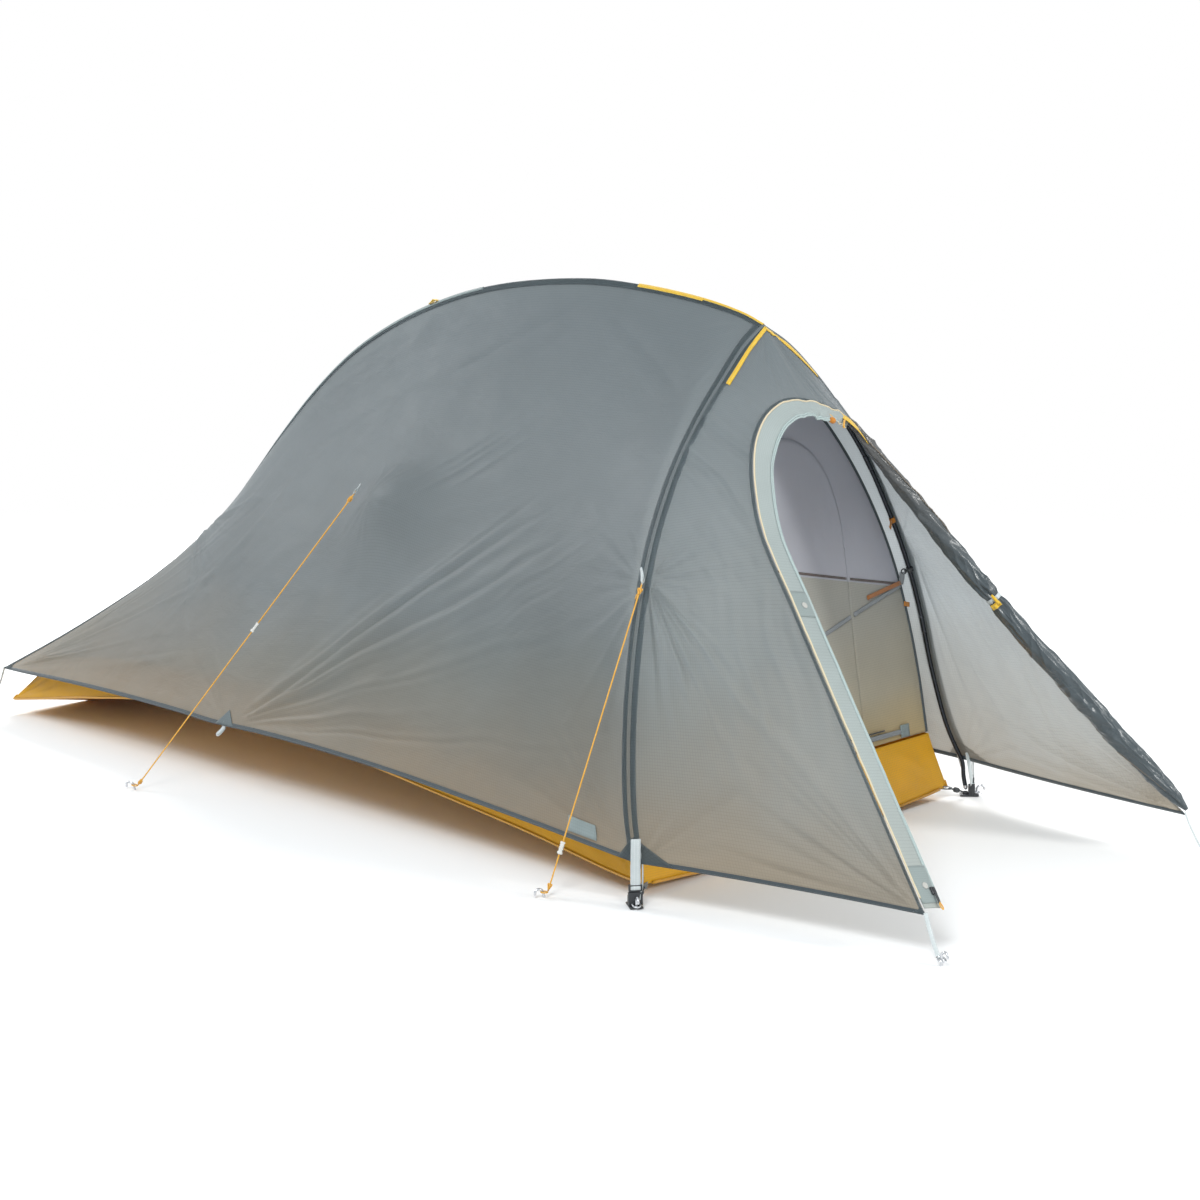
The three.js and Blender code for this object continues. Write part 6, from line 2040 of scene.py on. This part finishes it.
def guyline(name):
    """Cord with its knots, a webbing loop at the cloth and a tensioner."""
    top, low, along, _, stake_foot = guy_line(name)
    _, root_offset, tensioner_share = GUYS[name]
    level_side = unit(np.cross(along, UP))
    above = unit(np.cross(level_side, along))
    directions = (along, level_side, above)
    knot_at = top + along * 20
    end = [(2, 0, 0), (8, 3, 2), (16, 5, 1)]
    cord = [tube(top + (low - top) * np.linspace(0, 1, 60)[:, None], 1.45, 12),
            knot((knot_at, *directions), 4.95, 3.0, 1.4),
            tube(local_points((knot_at, *directions), end), 1.3, 10),
            torus(stake_foot + UP * 9.5, UP * 0.9 - along * 0.3, 6.2, 1.3, 32, 10),
            knot((low - along * 9, *directions), 4.6, 2.8, 1.3)]
    root = top + root_offset
    middle = lerp(root, top, 0.5)
    loop = Curve([root, middle + level_side, top + along * 2 + above * 1.6, top + along * 4.5,
                  top + along * 2 - above * 1.6, middle - level_side * 1.2,
                  root + vec(0, 0, -1.2)] if False else
                 [root, middle + level_side * 1.0, top + along * 2 + above * 1.6,
                  top + along * 4.5, top + along * 2 - above * 1.6, middle - above * 1.2,
                  root + vec(0, 0, -1.2)], 10)
    axes = (lerp(top, low, tensioner_share), level_side, above, along)
    axes = (axes[0], *(level_side, along, above))
    tensioner = boxes(axes, [
        ((8.6, 20, 5.6), (0, -1, 0), 2.2), ((9.4, 5.4, 8.6), (0, 9, 0), 2.2),
        ((9.0, 4.2, 7.6), (0, -10, 0), 1.9), ((9.2, 1.1, 6.4), (0, -5, 0), 0.5),
        ((9.2, 1.1, 6.4), (0, -1.5, 0), 0.5), ((9.2, 1.1, 6.4), (0, 2.0, 0), 0.5)])
    for side in SIDES:
        put_side(side, "guy_cord_" + name, cord, CORD, "guyline_" + name)
        put_side(side, "guy_loop_" + name,
                 [strap(loop.points, level_side * 0.2 + above, 9, 1.3)], PALE)
        put_side(side, "line_tensioner_" + name, tensioner, SNAP, "tensioner_" + name,
                 body="tensioner_" + name)


for name in GUYS:
    guyline(name)


# ---------------------------------------------------------------- staked corners
def staked_corner(name, corner, stake_foot):
    """Ring on the stake and the webbing from it up to the fly's corner."""
    c = stake_foot + UP * 11
    inward = unit((corner - c) * vec(1, 1, 0))
    ring = torus(c, UP - inward * 0.3, 8.6, 1.7, 36, 12, 0.8, inward)
    root = c + inward * 7.6
    path = Curve([root - inward * 1.2 - UP * 1.6, root - inward * 2.4 + UP * 0.4,
                  root + UP * 2.2 - inward * 0.4, lerp(root, corner, 0.35),
                  lerp(root, corner, 0.75), corner + UP * 4], 12).points
    side_dir = unit(np.cross(corner - root, UP))
    normal = unit(np.cross(side_dir, corner - root))
    for side in SIDES:
        put_side(side, "corner_ring_" + name, [ring], ALLOY)
        put_side(side, "corner_webbing_" + name, [strap(path, normal, 9, 1.5)], PALE)


staked_corner("vestibule", STAKED_CORNER, VEST_STAKE)
staked_corner("rear", REAR_CORNER, REAR_STAKE)

# ---------------------------------------------------------------- stage, light, camera (metres)
STAGE_Y, STAGE_Z, STAGE_SEG = 0.8, -0.0006, 96
STAGE_RINGS = [0.6, 1.2, 1.8, 2.4, 3.2, 4.2, 5.5, 7.0, 9.0]


def stage_material():
    """Pale floor that fades out with distance."""
    mat = Shader("studio_floor")
    tone = mat.ramp(mat.noise(mat.place(), scale=0.8, detail=2), [(0.3, 0.86), (0.7, 0.90)])
    face = mat.principled(Base_Color=tone, Roughness=0.9, Specular_IOR_Level=0.1)
    centred = mat.mapped(mat.place(), (1, 1, 1), location=(0, -STAGE_Y, 0))
    r = mat.node("VectorMath", {"operation": "LENGTH"}, i0=centred).outputs["Value"]
    fade = mat.ramp(mat.math("DIVIDE", r, STAGE_RINGS[-1]), [(0.20, 0.0), (0.52, 1.0)], "EASE")
    return mat.finish(mat.blend(fade, face, mat.clear()))


def stage_floor():
    n = STAGE_SEG
    V = [(0, STAGE_Y, STAGE_Z)]
    for r in STAGE_RINGS:
        for k in range(n):
            a = 2 * math.pi * k / n
            V.append((r * math.cos(a), r * math.sin(a) + STAGE_Y, STAGE_Z))
    F = [(0, 1 + k, 1 + (k + 1) % n) for k in range(n)]
    for i in range(len(STAGE_RINGS) - 1):
        a, b = 1 + i * n, 1 + (i + 1) * n
        for k in range(n):
            after = (k + 1) % n
            F.append((a + k, b + k, b + after, a + after))
    me = bpy.data.meshes.new("stage_floor")
    me.from_pydata(V, [], F)
    me.update()
    ob = bpy.data.objects.new("stage_floor", me)
    bpy.context.scene.collection.objects.link(ob)
    me.materials.append(stage_material())


def aimed(name, data, place, target):
    ob = bpy.data.objects.new(name, data)
    bpy.context.scene.collection.objects.link(ob)
    ob.location = place
    ob.rotation_euler = (Vector(target) - Vector(place)).to_track_quat("-Z", "Y").to_euler()
    return ob


def studio_world():
    """Pale blue light on the tent, plain white behind it for the camera."""
    world = bpy.data.worlds.new("studio")
    bpy.context.scene.world = world
    world.use_nodes = True
    tree = world.node_tree
    tree.nodes.clear()
    out = tree.nodes.new("ShaderNodeOutputWorld")
    mix = tree.nodes.new("ShaderNodeMixShader")
    path = tree.nodes.new("ShaderNodeLightPath")
    tree.links.new(path.outputs["Is Camera Ray"], mix.inputs[0])
    for i, colour, strength in ((1, (0.93, 0.97, 1.0, 1), 0.72), (2, (1, 1, 1, 1), 1.0)):
        background = tree.nodes.new("ShaderNodeBackground")
        background.inputs["Color"].default_value = colour
        background.inputs["Strength"].default_value = strength
        tree.links.new(background.outputs[0], mix.inputs[i])
    tree.links.new(mix.outputs[0], out.inputs["Surface"])


# Name, place, target, disk size, power in watts, colour
LIGHTS = [
    ("key_far", (3.3, 4.0, 2.9), (0, 0.7, 0.4), 2.2, 260, (1.0, 0.99, 0.97)),
    ("rake_rear", (-1.3, 5.4, 3.0), (-0.3, 0.8, 0.5), 1.7, 95, (0.97, 0.99, 1.0)),
    ("fill_near", (-3.6, -1.6, 3.9), (0, 0.7, 0.4), 1.8, 150, (0.95, 0.98, 1.0)),
    ("front", (1.3, -4.2, 2.3), (-0.1, -0.2, 0.4), 1.1, 105, (1.0, 0.99, 0.97)),
]

stage_floor()
studio_world()
for name, place, target, size, power, colour in LIGHTS:
    light = bpy.data.lights.new(name, "AREA")
    light.shape = "DISK"
    light.size = size
    light.energy = power
    light.color = colour
    aimed(name, light, place, target)

lens = bpy.data.cameras.new("camera")
lens.lens = 72.81
lens.sensor_width = 36.0
lens.sensor_fit = "HORIZONTAL"
scene = bpy.context.scene
scene.camera = aimed("camera", lens, CAMERA_PLACE, (0.162, 0.617, 0.383))
scene.view_settings.view_transform = "Standard"
scene.view_settings.look = "None"
